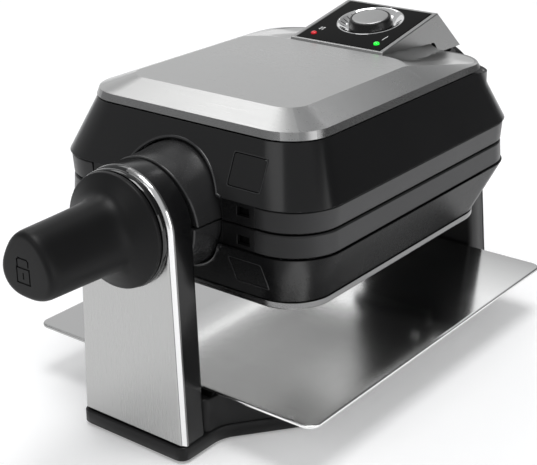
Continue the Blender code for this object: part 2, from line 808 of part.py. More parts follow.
def hinge_lug():
    """Lug of the upper half between the two hinge arms."""
    body = build("hinge_lug", box((-22.0, 22.0), (167.0, 176.8), (HINGE_Z, half_z(1, 49.0) - GAP)),
                 "black_plastic", LID_ORIGIN, False)
    join(body, guide("hinge_lug_barrel", crosswise(5.2, -22.0, 22.0, HINGE_Y, HINGE_Z, 20)))
    cut(body, guide("hinge_lug_pin_hole", crosswise(2.8, -30.0, 30.0, HINGE_Y, HINGE_Z, 12)))
    return body


def rear_shaft():
    shape = turned([(12.0, 186.2), (12.0, 205.0), (5.0, 205.0), (5.0, 186.2)], 28, closed=True)
    return build("rear_shaft", shape, "machined_steel", ROTOR_ORIGIN)


# ---------------------------------------------------------------- columns

def tombstone(top_half, foot_half, foot_z, y, inset=0.0, steps=16):
    """Round-topped column outline in the XZ plane, wider at the foot."""
    ring = [(foot_half - inset, y, foot_z + inset)]
    for step in range(steps + 1):
        angle = math.pi * step / steps
        radius = top_half - inset
        ring.append((radius * math.cos(angle), y, AXIS_Z + radius * math.sin(angle)))
    ring.append((-foot_half + inset, y, foot_z + inset))
    return ring


def front_column():
    def ring(y, inset):
        return tombstone(COLUMN_TOP_HALF - 0.4, COLUMN_FOOT_HALF - 0.4, COLUMN_FOOT_Z, y, inset)
    outer = [ring(COLUMN_FRONT_Y, 0.0), ring(COLUMN_REAR_Y - 1.5, 0.0), ring(COLUMN_REAR_Y, 1.5)]
    inner = [ring(COLUMN_FRONT_Y, COLUMN_WALL), ring(COLUMN_REAR_Y - COLUMN_WALL, COLUMN_WALL)]
    body = pan("front_column", outer, inner, "black_plastic", (0.0, 0.0, 0.0))
    boss = turned([(BEARING_RADIUS + 3.0, COLUMN_FRONT_Y + 0.5), (BEARING_RADIUS + 3.0, COLUMN_REAR_Y - 1.0)], 28)
    join(body, guide("front_column_boss", boss))
    hole = turned([(BEARING_RADIUS + GAP, COLUMN_FRONT_Y - 4.0), (BEARING_RADIUS + GAP, COLUMN_REAR_Y + 4.0)], 28)
    cut(body, guide("front_column_bearing_hole", hole))
    return body


def column_shell():
    """Brushed steel face of the front column with a polished rounded edge."""
    def ring(y, inset):
        return tombstone(COLUMN_TOP_HALF, COLUMN_FOOT_HALF, COLUMN_FOOT_Z, y, inset)
    back = COLUMN_FRONT_Y - GAP
    outer = [ring(back, 0.0), ring(SHELL_FRONT_Y + 2.8, 0.3), ring(SHELL_FRONT_Y + 1.0, 1.4),
             ring(SHELL_FRONT_Y, 3.6)]
    inner = [ring(back, 1.0), ring(SHELL_FRONT_Y + 1.6, 3.2)]
    body = pan("front_column_cover", outer, inner, "brushed_steel", (0.0, 0.0, 0.0))
    hole = turned([(BEARING_RADIUS, SHELL_FRONT_Y - 3.0), (BEARING_RADIUS, COLUMN_FRONT_Y + 3.0)], 28)
    cut(body, guide("front_column_cover_hole", hole))
    return body


def rear_column():
    def ring(y, inset):
        return tombstone(REAR_TOP_HALF, REAR_FOOT_HALF, REAR_FOOT_Z, y, inset)
    outer = [ring(REAR_BACK_Y, 0.0), ring(REAR_FRONT_Y + 2.0, 0.0), ring(REAR_FRONT_Y, 2.0)]
    inner = [ring(REAR_BACK_Y, COLUMN_WALL), ring(REAR_FRONT_Y + COLUMN_WALL, COLUMN_WALL)]
    body = pan("rear_column", outer, inner, "black_plastic", (0.0, 0.0, 0.0))
    boss = turned([(BEARING_RADIUS + 3.0, REAR_FRONT_Y + 1.0), (BEARING_RADIUS + 3.0, REAR_BACK_Y - 2.0)], 28)
    join(body, guide("rear_column_boss", boss))
    hole = turned([(BEARING_RADIUS + GAP, REAR_FRONT_Y - 4.0), (BEARING_RADIUS + GAP, REAR_BACK_Y)], 28)
    cut(body, guide("rear_column_bearing_hole", hole))
    return body


def rear_column_back():
    """Rear cover plate of the column, with the hole for the cord inlet."""
    def ring(y, inset):
        return tombstone(REAR_TOP_HALF, REAR_FOOT_HALF, REAR_FOOT_Z, y, inset)
    rings = [ring(REAR_BACK_Y + GAP, 0.0), ring(REAR_COVER_Y - 1.2, 0.0), ring(REAR_COVER_Y, 1.2)]
    body = build("rear_column_back", loft(rings), "black_plastic", (0.0, 0.0, 0.0))
    hole = turned([(6.0, REAR_BACK_Y - 4.0), (6.0, REAR_COVER_Y + 4.0)], 16, x=0.0, z=34.0)
    cut(body, guide("rear_column_back_inlet_hole", hole))
    return body


def cord_inlet():
    """Inlet gland in the rear cover; the cord itself is not part of the model."""
    shape = turned([
        (5.7, REAR_COVER_Y - 0.2), (5.7, REAR_BACK_Y + 0.2), (8.0, REAR_BACK_Y - 0.4),
        (8.0, REAR_BACK_Y - 3.0), (3.4, REAR_BACK_Y - 3.0), (3.4, REAR_COVER_Y - 0.2),
    ], 16, closed=True, z=34.0)
    return build("cord_inlet", shape, "rubber", (0.0, REAR_COVER_Y, 34.0))


# ---------------------------------------------------------------- base and tray

def base_outline(inset, front, rear, z):
    """Waisted plan of the base: narrow at both columns and wide under the tray."""
    half = COLUMN_FOOT_HALF + 0.9 - inset
    wide = BASE_HALF - inset
    tail = REAR_FOOT_HALF + 0.9 - inset
    right = [
        (half - 7.0, front), (half - 2.0, front + 2.0), (half, front + 7.0), (half, -99.0 + inset),
        (half + 3.0, -95.0 + inset), (half + 10.0, -86.5 + inset), (wide - 5.0, -58.5 + inset),
        (wide, -48.0), (wide, 128.0), (wide - 5.0, 140.0 - inset), (tail + 5.0, 166.0 - inset),
        (tail, 175.0 - inset), (tail, rear - 6.0), (tail - 6.0, rear),
    ]
    left = [(-x, y) for x, y in reversed(right)]
    return [(x, y, z) for x, y in right + left]


def base_body():
    """Base moulding: skirt, upper tier and hollow underside."""
    front = -137.5
    tier_front = COLUMN_REAR_Y + GAP + 0.2
    tier_rear = REAR_FRONT_Y - GAP - 0.2
    outer = [
        base_outline(0.0, front, REAR_COVER_Y, FEET_TALL),
        base_outline(0.0, front, REAR_COVER_Y, BASE_LEDGE_Z - 1.0),
        base_outline(1.0, front + 1.0, REAR_COVER_Y - 1.0, BASE_LEDGE_Z),
        base_outline(1.3, tier_front, tier_rear, BASE_LEDGE_Z),
        base_outline(1.9, tier_front, tier_rear, BASE_TOP_Z),
    ]
    inner = [
        base_outline(BASE_WALL, front + BASE_WALL, REAR_COVER_Y - BASE_WALL, FEET_TALL),
        base_outline(BASE_WALL, front + BASE_WALL, REAR_COVER_Y - BASE_WALL, BASE_LEDGE_Z - BASE_WALL),
        base_outline(BASE_WALL + 3.6, tier_front + BASE_WALL, tier_rear - BASE_WALL, BASE_LEDGE_Z - BASE_WALL),
        base_outline(BASE_WALL + 3.6, tier_front + BASE_WALL, tier_rear - BASE_WALL, BASE_TOP_Z - BASE_WALL),
    ]
    return pan("base_body", outer, inner, "black_plastic", (0.0, 0.0, 0.0))


def base_plate():
    """Flat underside closing the hollow of the base."""
    front = -137.5 + BASE_WALL + GAP
    rear = REAR_COVER_Y - BASE_WALL - GAP
    shrink = BASE_WALL + GAP
    rings = [base_outline(shrink, front, rear, FEET_TALL), base_outline(shrink, front, rear, FEET_TALL + 1.8)]
    return build("base_plate", loft(rings), "black_plastic", (0.0, 0.0, 0.0), False)


def rubber_feet():
    for number, (x, y) in enumerate(FOOT_SPOTS, start=1):
        shape = upright([(FOOT_RADIUS - 0.6, 0.0), (FOOT_RADIUS, 0.5), (FOOT_RADIUS, FEET_TALL - GAP)], x, y, 16)
        build("rubber_foot_%d" % number, shape, "rubber", (x, y, 0.0))


def tray_pads():
    under = TRAY_TOP - TRAY_HEM - GAP
    for number, (x, y) in enumerate(PAD_SPOTS, start=1):
        shape = box((x - 6.0, x + 6.0), (y - 3.0, y + 3.0), (BASE_TOP_Z + GAP, under))
        build("tray_pad_%d" % number, shape, "rubber", (x, y, under), False)


def drip_tray():
    """Brushed sheet tray with a turned-down hem all round."""
    def ring(inset, z):
        return rounded(TRAY_HALF - inset, TRAY_FRONT + inset, TRAY_REAR - inset, TRAY_RADIUS - inset, z, 6)
    outer = [ring(0.0, TRAY_TOP - TRAY_HEM), ring(0.0, TRAY_TOP - 0.4), ring(0.4, TRAY_TOP)]
    inner = [ring(SHEET, TRAY_TOP - TRAY_HEM), ring(SHEET, TRAY_TOP - SHEET)]
    return pan("drip_tray", outer, inner, "brushed_steel", (0.0, 40.0, TRAY_TOP))


def main():
    clear_scene()
    base_body()
    base_plate()
    rubber_feet()
    tray_pads()
    drip_tray()
    front_column()
    column_shell()
    rear_column()
    rear_column_back()
    cord_inlet()
    bearing("front_bearing", -130.6, -115.4, SHAFT_RADIUS + GAP)
    bearing("rear_bearing", REAR_FRONT_Y + 0.6, REAR_BACK_Y - 3.0, 12.0 + GAP)
    for sign in (1, -1):
        casing(sign)
        band(sign)
        waffle_plate(sign)
        heater(sign)
        reflector(sign)
        hub_half(sign)
        release_button(sign)
        latch(sign)
    upper_cover()
    lower_cover()
    control_panel()
    dial_dish()
    dial_knob()
    dial_cap()
    light("light_red", -1, "lens_red")
    light("light_green", 1, "lens_green")
    thermostat()
    front_shaft()
    collar_ring()
    handle_grip()
    handle_badge()
    lock_bolt()
    rear_carrier()
    rear_shaft()
    hinge_pin()
    hinge_lug()


main()
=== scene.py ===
"""Looks of the rotating waffle maker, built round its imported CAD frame.

Lengths are millimetres in the shared frame and become metres in the meshes.
X is right seen from the handle, Y runs from the handle to the rear, Z is up.
"""
import math

import bmesh
import bpy
from mathutils import Matrix, Vector


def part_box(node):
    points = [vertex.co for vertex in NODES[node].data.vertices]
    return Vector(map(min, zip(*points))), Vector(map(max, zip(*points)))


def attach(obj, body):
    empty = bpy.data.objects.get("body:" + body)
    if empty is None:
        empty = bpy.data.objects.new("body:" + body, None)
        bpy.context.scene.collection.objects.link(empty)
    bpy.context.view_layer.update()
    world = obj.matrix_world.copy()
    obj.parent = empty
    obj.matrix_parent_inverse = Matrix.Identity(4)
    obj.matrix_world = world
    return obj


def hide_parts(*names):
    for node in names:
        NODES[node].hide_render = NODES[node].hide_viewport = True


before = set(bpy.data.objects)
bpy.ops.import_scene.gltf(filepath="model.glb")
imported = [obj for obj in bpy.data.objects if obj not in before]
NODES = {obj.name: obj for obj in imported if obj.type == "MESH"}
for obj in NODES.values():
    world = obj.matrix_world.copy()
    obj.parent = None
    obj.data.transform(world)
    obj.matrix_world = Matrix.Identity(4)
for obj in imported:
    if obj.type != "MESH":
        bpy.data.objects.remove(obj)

MM = 0.001
TAU = 2.0 * math.pi
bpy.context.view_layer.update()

# Body halves, heights measured from the parting plane
AXIS_Z = 145.0
HINGE_RISE = 41.0
BODY_HALF = 103.0
BODY_FRONT = -95.0
BODY_REAR = 158.0
BODY_RADIUS = 34.0
CASING_LOW = 15.0
CASING_HIGH = 50.6
DRAFT = 15.5 / (CASING_HIGH - CASING_LOW)
CASING_WALL = 2.8
STEP_HEIGHT = 40.0
ARCH_RADIUS = 39.6
ARCH_LIP = 1.05
ARCH_FLARE = 15.0
ARCH_REAR = -66.0
BAND_RECESS_X = 64.5

# Steel covers
LIP_LOW = 50.9
LIP_HIGH = 55.5
LIP_DRAW = 1.4
PLATEAU = 63.1
COVER_HALF = 88.0
COVER_FRONT = -79.5
COVER_REAR = 142.5
COVER_RADIUS = 29.0
PLATEAU_HALF = 66.3
PLATEAU_FRONT = -58.2
PLATEAU_RADIUS = 15.0
REAR_EDGE = 53.4
SCOOP_START = 74.0
SCOOP_END = 140.0

# Control housing
HOUSING_HALF = 38.0
NOSE = (78.4, 63.7)
RIDGE = (148.4, 77.2)
SLOPE = math.atan2(RIDGE[1] - NOSE[1], RIDGE[0] - NOSE[0])
PANEL_FRONT = 80.7
PANEL_REAR = 146.4
PANEL_HALF = 34.2
DIAL_Y = 120.8
DISH_HOLE = 24.0
LAMP_X = 26.0
LAMP_Y = 89.2
LAMP_HOLE = 2.35

# Buttons
BUTTON_X = (43.2, 66.6)
BUTTON_Z = (21.8, 41.4)
WINDOW_X = (51.2, 60.2)
WINDOW_Z = (6.2, 11.8)

# Handle, columns, base and tray
GRIP_START = -140.3
GRIP_END = -210.5
GRIP_BORE = 14.6
SHAFT_HOLE = 19.3
FACE_BACK = -131.3
COLUMN_TOP = 37.0
COLUMN_FOOT = 41.8
COLUMN_FOOT_Z = 11.3
REAR_TOP = 42.5
REAR_FOOT = 55.0
REAR_FOOT_Z = 12.3
INLET_Z = 34.0
LEDGE_Z = 11.0
TIER_Z = 33.0
BASE_HALF = 80.0
BASE_FRONT = -137.5
BASE_REAR = 210.5
TIER_FRONT = -114.8
TIER_REAR = 187.5
FEET_TALL = 1.5
TRAY_TOP = 36.6
TRAY_HALF = 114.6
TRAY_FRONT = -105.0
TRAY_REAR = 185.0
TRAY_RADIUS = 8.0

# What the lights look at, in metres
MIDDLE = (0.0, 0.03, 0.12)


# --- materials

def settle(node, **inputs):
    """Set a node's inputs by name, with underscores for spaces."""
    for name, value in inputs.items():
        node.inputs[name.replace("_", " ")].default_value = value
    return node


def node_of(tree, kind, **inputs):
    return settle(tree.nodes.new(kind), **inputs)


def colour_mix(tree, blend="MIX"):
    made = tree.nodes.new("ShaderNodeMix")
    made.data_type = "RGBA"
    made.blend_type = blend
    return made


def surface(name, colour, rough, metal=0.0, spread=0.05, vary=0.12, grain=900.0, stretch=(1.0, 1.0, 1.0),
            bump=0.05, depth=0.00008, specular=0.5, cloud=22.0):
    """Procedural finish: clouded colour, uneven roughness and a fine grain or brushed relief."""
    made = bpy.data.materials.new(name)
    made.use_nodes = True
    tree = made.node_tree
    join = tree.links.new
    place = tree.nodes.new("ShaderNodeTexCoord").outputs["Object"]
    scaled = node_of(tree, "ShaderNodeMapping", Scale=stretch)
    join(place, scaled.inputs["Vector"])
    fine = node_of(tree, "ShaderNodeTexNoise", Scale=grain, Detail=3.0, Roughness=0.55)
    broad = node_of(tree, "ShaderNodeTexNoise", Scale=cloud, Detail=4.0, Roughness=0.5)
    join(scaled.outputs["Vector"], fine.inputs["Vector"])
    join(place, broad.inputs["Vector"])
    both = node_of(tree, "ShaderNodeMix", Factor=0.5)
    join(fine.outputs["Fac"], both.inputs["A"])
    join(broad.outputs["Fac"], both.inputs["B"])
    uneven = both.outputs["Result"]
    tint = settle(colour_mix(tree), A=(*[c * (1.0 - vary) for c in colour], 1.0),
                  B=(*[min(1.0, c * (1.0 + vary)) for c in colour], 1.0))
    join(uneven, tint.inputs["Factor"])
    polish = node_of(tree, "ShaderNodeMapRange", From_Min=0.3, From_Max=0.7,
                     To_Min=max(0.02, rough - spread), To_Max=rough + spread)
    join(uneven, polish.inputs["Value"])
    relief = node_of(tree, "ShaderNodeBump", Strength=bump, Distance=depth)
    join(fine.outputs["Fac"], relief.inputs["Height"])
    shader = settle(tree.nodes["Principled BSDF"], Metallic=metal, Specular_IOR_Level=specular)
    join(tint.outputs["Result"], shader.inputs["Base Color"])
    join(polish.outputs["Result"], shader.inputs["Roughness"])
    join(relief.outputs["Normal"], shader.inputs["Normal"])
    return made


def lamp_glass(name, colour, glow):
    """Tinted lens lit from inside, brighter towards its middle."""
    made = surface(name, colour, 0.12, spread=0.04, vary=0.2, grain=1500.0, bump=0.02)
    tree = made.node_tree
    shader = settle(tree.nodes["Principled BSDF"], Emission_Strength=glow)
    edge = node_of(tree, "ShaderNodeLayerWeight", Blend=0.35)
    lit = settle(colour_mix(tree), A=(*[min(1.0, c * 1.3 + 0.015) for c in colour], 1.0),
                 B=(*[c * 0.25 for c in colour], 1.0))
    tree.links.new(edge.outputs["Facing"], lit.inputs["Factor"])
    tree.links.new(lit.outputs["Result"], shader.inputs["Emission Color"])
    return made


def brushed(name, stretch, rough=0.26, colour=(0.46, 0.46, 0.455), bump=0.12, vary=0.05):
    return surface(name, colour, rough, 1.0, 0.06, vary, 1600.0, stretch, bump, 0.00006, cloud=9.0)


def painted_shade_ramp(made, axis, span, tones):
    """Painted shade: scale a finish's colour evenly along one axis of the machine, from one tone to the
    other.
    """
    tree = made.node_tree
    join = tree.links.new
    base = tree.nodes["Principled BSDF"].inputs["Base Color"]
    tinted = base.links[0].from_socket
    place = tree.nodes.new("ShaderNodeTexCoord")
    parts = tree.nodes.new("ShaderNodeSeparateXYZ")
    shade = node_of(tree, "ShaderNodeMapRange", From_Min=span[0] * MM, From_Max=span[1] * MM,
                    To_Min=tones[0], To_Max=tones[1])
    product = settle(colour_mix(tree, "MULTIPLY"), Factor=1.0)
    join(place.outputs["Object"], parts.inputs["Vector"])
    join(parts.outputs[axis], shade.inputs["Value"])
    join(tinted, product.inputs["A"])
    join(shade.outputs["Result"], product.inputs["B"])
    join(product.outputs["Result"], base)
    return made


# Plain finishes: material name, colour, roughness, spread, grain, bump, specular
PLAIN = {
    "casing": ("gloss_casing", (0.0055, 0.0055, 0.0058), 0.2, 0.05, 1300.0, 0.03, 0.36),
    # Painted shade: the lower casing is a darker, less shiny copy of the upper casing's gloss black.
    "casing_painted_shade": ("gloss_casing_painted_shade", (0.0045, 0.0045, 0.0048), 0.26, 0.05, 1300.0, 0.03, 0.07),
    # Painted sheen: the hub's gloss black is given a lighter colour.
    "hub": ("gloss_hub_painted_sheen", (0.02, 0.02, 0.0205), 0.26, 0.05, 1300.0, 0.03, 0.5),
    "ring": ("gloss_ring", (0.004, 0.004, 0.0042), 0.06, 0.03, 1300.0, 0.01, 0.7),
    "arch": ("arch_black", (0.014, 0.014, 0.015), 0.2, 0.05, 1300.0, 0.03, 0.5),
    "plastic": ("satin_plastic", (0.006, 0.006, 0.0063), 0.34, 0.08, 2200.0, 0.1, 0.24),
    "inner": ("matt_plastic", (0.006, 0.006, 0.0065), 0.6, 0.1, 2000.0, 0.15, 0.3),
    "grip": ("soft_grip", (0.0045, 0.0045, 0.0048), 0.42, 0.07, 2600.0, 0.15, 0.2),
    "mark": ("icon_ink", (0.0015, 0.0015, 0.0015), 0.6, 0.05, 2000.0, 0.05, 0.1),
    "outline": ("outline_ink", (0.022, 0.022, 0.023), 0.3, 0.05, 2000.0, 0.05, 0.5),
    "guard": ("band_guard", (0.004, 0.004, 0.0042), 0.3, 0.06, 1600.0, 0.05, 0.2),
    "knob": ("knob_plastic", (0.006, 0.006, 0.0062), 0.3, 0.06, 2400.0, 0.08, 0.3),
    "panel": ("panel_glass", (0.0025, 0.0025, 0.0026), 0.14, 0.03, 1500.0, 0.01, 0.03),
    "ink": ("white_ink", (0.72, 0.72, 0.72), 0.5, 0.08, 2500.0, 0.1, 0.5),
    "rubber": ("foot_rubber", (0.02, 0.02, 0.02), 0.78, 0.1, 1800.0, 0.3, 0.5),
}
FINISH = {
    key: surface(name, colour, rough, spread=spread, grain=grain, bump=bump, specular=specular)
    for key, (name, colour, rough, spread, grain, bump, specular) in PLAIN.items()
}
BRUSHED_X = (0.03, 1.0, 1.0)
BRUSHED_YZ = (1.0, 0.03, 0.03)
BRUSHED_Z = (1.0, 1.0, 0.012)
FINISH |= {
    "cover": brushed("brushed_cover", BRUSHED_X, 0.3, (0.42, 0.42, 0.417), 0.05),
    # Painted shade: the housing's sides are the cover steel painted darker.
    "housing": brushed("brushed_housing_painted_shade", BRUSHED_YZ, 0.3, (0.27, 0.27, 0.268), 0.06),
    "column": brushed("brushed_column", BRUSHED_Z, 0.27, bump=0.08),
    # Painted light: the lower cover's steel is painted far brighter than the upper cover's, to throw more
    # light onto the tray under it.
    "lower_top": brushed("lower_cover_steel_painted_bright", BRUSHED_X, 0.2, (0.74, 0.74, 0.735), 0.05),
    # Facet steel: the cover steel painted darker, painted shade on the side and rear facets.
    "facet": brushed("facet_steel_painted_shade", BRUSHED_X, 0.3, (0.36, 0.36, 0.36), 0.05),
    # Lip steel: the cover steel painted darker, painted shade on faces that turn sideways, which are the
    # covers' lips and the sides of the column face.
    "lip": brushed("side_steel_painted_shade", BRUSHED_X, 0.28, (0.25, 0.25, 0.25), 0.05),
    # Tray steel; further down its colour is darkened as painted shade and painted reflection of the dark
    # body.
    "tray": brushed("brushed_tray_painted_shade", (0.02, 1.0, 1.0), 0.13, (0.95, 0.95, 0.946), 0.05),
    "turned": brushed("turned_steel", (1.0, 0.04, 1.0), 0.3, (0.55, 0.55, 0.55)),
    "knob_cap": brushed("knob_cap_steel", (0.05, 1.0, 1.0), 0.4, (0.4, 0.4, 0.4)),
    # Polished edge steel that is also painted bright: a painted highlight, given only to the right-hand side
    # of the column face's rounding.
    "polish": surface("polished_edge_painted_highlight", (0.86, 0.86, 0.86), 0.1, 1.0, 0.03, 0.03, 1200.0, bump=0.02),
    "chrome": surface("chrome_dish", (0.78, 0.78, 0.78), 0.08, 1.0, 0.03, 0.03, 1200.0, bump=0.03),
    # Satin band metal; further down its front is darkened as painted shade.
    "band": surface("satin_band_painted_shade", (0.053, 0.053, 0.054), 0.34, 0.75, 0.06, 0.1, 1500.0, (0.05, 0.05, 1.0),
                    0.08, 0.00006),
    "cast": surface("cast_plate", (0.05, 0.05, 0.053), 0.46, 0.55, 0.1, 0.15, 1800.0, bump=0.25,
                    depth=0.0001),
    "red": lamp_glass("red_lens", (0.5, 0.004, 0.012), 0.4),
    "green": lamp_glass("green_lens", (0.004, 0.72, 0.03), 1.0),
}
# The lower half gets the painted-shade copy of the casing finish.
CASING_FINISH = {1: "casing", -1: "casing_painted_shade"}
# Painted shade and painted reflection of the dark body: the tray darkens towards the rear column and towards
# the left.
painted_shade_ramp(FINISH["tray"], "Y", (110.0, 185.0), (1.0, 0.44))
painted_shade_ramp(FINISH["tray"], "X", (-40.0, 30.0), (0.47, 1.0))
# Painted shade: the band darkens towards its front face.
painted_shade_ramp(FINISH["band"], "Y", (-94.0, -70.0), (0.4, 1.0))
# Painted shade: the facets darken further towards the rear.
painted_shade_ramp(FINISH["facet"], "Y", (-40.0, 110.0), (1.0, 0.62))


# --- mesh helpers

def z_of(sign, height):
    return AXIS_Z + sign * height


def title(sign):
    return "upper" if sign > 0 else "lower"


def half_body(sign):
    return title(sign) + "_half"


def loft(rings, closed=False, caps=True):
    """Skin equal-length rings of points."""
    count = len(rings[0])
    points = [point for ring in rings for point in ring]
    faces = []
    spans = len(rings) if closed else len(rings) - 1
    for span in range(spans):
        here = span * count
        there = ((span + 1) % len(rings)) * count
        for index in range(count):
            after = (index + 1) % count
            faces.append((here + index, here + after, there + after, there + index))
    if caps and not closed:
        faces.append(tuple(range(count)))
        faces.append(tuple(range(len(points) - count, len(points))))
    return points, faces


def rounded(half_x, front, rear, radius, z, steps, spans):
    """Rounded rectangle in plan; spans subdivides the straight sides."""
    corners = (
        (half_x - radius, front + radius, -0.25),
        (half_x - radius, rear - radius, 0.0),
        (-half_x + radius, rear - radius, 0.25),
        (-half_x + radius, front + radius, 0.5),
    )
    ring = []
    for centre_x, centre_y, start in corners:
        for step in range(steps + 1):
            angle = TAU * (start + 0.25 * step / steps)
            ring.append((centre_x + radius * math.cos(angle), centre_y + radius * math.sin(angle)))
    full = []
    for index, (x, y) in enumerate(ring):
        next_x, next_y = ring[(index + 1) % len(ring)]
        parts = spans if (index + 1) % (steps + 1) == 0 else 1
        for part in range(parts):
            share = part / parts
            full.append((x + (next_x - x) * share, y + (next_y - y) * share, z))
    return full


def wheel(count):
    """Cosine and sine of evenly spaced turns."""
    return [(math.cos(TAU * i / count), math.sin(TAU * i / count)) for i in range(count)]


def turned(profile, count=72, closed=False, x=0.0, z=AXIS_Z):
    turn = wheel(count)
    return loft([[(x + radius * c, y, z + radius * s) for c, s in turn] for radius, y in profile], closed)


def upright(profile, x, y, count, closed=False):
    turn = wheel(count)
    return loft([[(x + radius * c, y + radius * s, z) for c, s in turn] for radius, z in profile], closed)


def rounded_box(x, y, radius):
    """Rectangle with rounded corners as (x, y) points."""
    corners = ((x[0], y[0]), (x[1], y[0]), (x[1], y[1]), (x[0], y[1]))
    return fillet([(*corner, radius) for corner in corners], 4)


def block(x, y, z):
    ring = [(x[0], y[0]), (x[1], y[0]), (x[1], y[1]), (x[0], y[1])]
    return loft([[(px, py, height) for px, py in ring] for height in z])


def prism(half_x, side):
    return loft([[(x, y, z) for y, z in side] for x in (-half_x, half_x)])


def wall_prism(profile, y0, y1):
    """Extrude an (x, z) outline along Y."""
    return loft([[(x, y, z) for x, z in profile] for y in (y0, y1)])


def placed(shape, matrix):
    points, faces = shape
    return [tuple(matrix @ Vector(point)) for point in points], faces


def fillet(corners, steps=6):
    """Round the corners of an outline given as (x, y, radius)."""
    ring = []
    for index, (x, y, radius) in enumerate(corners):
        here = Vector((x, y))
        before = Vector(corners[index - 1][:2]) - here
        after = Vector(corners[(index + 1) % len(corners)][:2]) - here
        if radius <= 0.0:
            ring.append((x, y))
            continue
        reach = min(radius, 0.48 * before.length, 0.48 * after.length)
        first = here + before.normalized() * reach
        last = here + after.normalized() * reach
        for step in range(steps + 1):
            t = step / steps
            point = first * (1 - t) ** 2 + here * (2 * t * (1 - t)) + last * t ** 2
            ring.append((point.x, point.y))
    return ring


def strip(start, end, width, beyond=0.0):
    """Corners of a straight strip that may run beyond its two ends."""
    start = Vector(start)
    end = Vector(end)
    ahead = (end - start).normalized()
    side = Vector((-ahead.y, ahead.x)) * (0.5 * width)
    start -= ahead * beyond
    end += ahead * beyond
    return [tuple(corner) for corner in (start + side, start - side, end - side, end + side)]


def tube(path, radius, count):
    """Round bar along a path of 3-D points."""
    rings = []
    last = len(path) - 1
    for index, centre in enumerate(path):
        ahead = Vector(path[min(index + 1, last)]) - Vector(path[max(index - 1, 0)])
        side = ahead.cross(Vector((0.0, -1.0, 0.0))).normalized() * radius
        out = side.cross(ahead).normalized() * radius
        ring = []
        for step in range(count):
            angle = TAU * step / count
            ring.append(tuple(Vector(centre) + side * math.cos(angle) + out * math.sin(angle)))
        rings.append(ring)
    return loft(rings)


def tub(outer, inner):
    """Closed shell open at its first rings."""
    points, faces = loft(outer)
    count = len(outer[0])
    faces.remove(tuple(range(count)))
    more, more_faces = loft(inner)
    more_faces.remove(tuple(range(count)))
    offset = len(points)
    faces = faces + [tuple(index + offset for index in face) for face in more_faces]
    for index in range(count):
        after = (index + 1) % count
        faces.append((index, after, offset + after, offset + index))
    return points + more, faces


def stand(name, data):
    made = bpy.data.objects.new(name, data)
    bpy.context.scene.collection.objects.link(made)
    return made


def make(name, shape):
    points, faces = shape
    mesh = bpy.data.meshes.new(name)
    mesh.from_pydata([Vector(p) * MM for p in points], [], faces)
    work = bmesh.new()
    work.from_mesh(mesh)
    bmesh.ops.remove_doubles(work, verts=work.verts, dist=1e-6)
    bmesh.ops.recalc_face_normals(work, faces=work.faces)
    work.to_mesh(mesh)
    work.free()
    return stand(name, mesh)


def carve(target, cutters):
    """Apply Boolean cutters at once and drop them."""
    tools = []
    for number, shape in enumerate(cutters):
        tool = make("%s_tool_%d" % (target.name, number), shape)
        step = target.modifiers.new(tool.name, "BOOLEAN")
        step.operation = "DIFFERENCE"
        step.solver = "EXACT"
        step.object = tool
        tools.append(tool)
    graph = bpy.context.evaluated_depsgraph_get()
    result = bpy.data.meshes.new_from_object(target.evaluated_get(graph))
    target.modifiers.clear()
    target.data = result
    for tool in tools:
        bpy.data.objects.remove(tool, do_unlink=True)


def soften(target, width, segments=3, angle=30.0):
    """Rounded edges with clean shading over the flats."""
    step = target.modifiers.new("edge_round", "BEVEL")
    step.width = width * MM
    step.segments = segments
    step.limit_method = "ANGLE"
    step.angle_limit = math.radians(angle)
    step.use_clamp_overlap = True
    shade = target.modifiers.new("flat_shading", "WEIGHTED_NORMAL")
    shade.keep_sharp = True
    shade.weight = 80


def piece(name, shape, finish, body, nodes=(), bevel=0.0, cuts=(), segments=3, sharp=35.0):
    """One visible piece: cut, softened, finished and riding on its body."""
    made = make(name, shape)
    if cuts:
        carve(made, cuts)
    made.data.shade_smooth()
    if bevel > 0.0:
        soften(made, bevel, segments)
    else:
        made.data.set_sharp_from_angle(angle=math.radians(sharp))
    made.data.materials.clear()
    made.data.materials.append(FINISH[finish])
    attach(made, body)
    if nodes:
        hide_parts(*nodes)
    return made


def refinish(target, finish, chosen):
    """Add a finish to the piece and give it to the chosen faces."""
    target.data.materials.append(FINISH[finish])
    for face in target.data.polygons:
        if chosen(face):
            face.material_index = len(target.data.materials) - 1


def keep(node, finish, bevel=0.0):
    """A CAD node shown as it is, with its finish and rounded edges."""
    target = NODES[node]
    target.data.materials.clear()
    target.data.materials.append(FINISH[finish])
    if bevel > 0.0:
        soften(target, bevel, 2, 32.0)


def clamp(value):
    return min(1.0, max(0.0, value))


def smooth_step(value):
    value = clamp(value)
    return value * value * (3.0 - 2.0 * value)


# --- body halves

def casing_ring(inset, height, sign, shrink):
    """Casing outline; the upper rear corners stand upright above the step height."""
    ring = rounded(BODY_HALF - inset, BODY_FRONT + inset, BODY_REAR - inset,
                   max(BODY_RADIUS - inset / 3.1 - shrink, 6.0), z_of(sign, height), 14, 10)
    if sign < 0 or height <= STEP_HEIGHT:
        return ring
    back = DRAFT * (height - STEP_HEIGHT)
    drop = 3.3 * (height - STEP_HEIGHT) / (CASING_HIGH - STEP_HEIGHT)
    bent = []
    for x, y, z in ring:
        share = smooth_step((y - 108.0) / 26.0)
        out = math.copysign(back * share, x) * smooth_step(abs(x) / 60.0)
        bent.append((x + out, y + back * share, z - drop * share))
    return bent


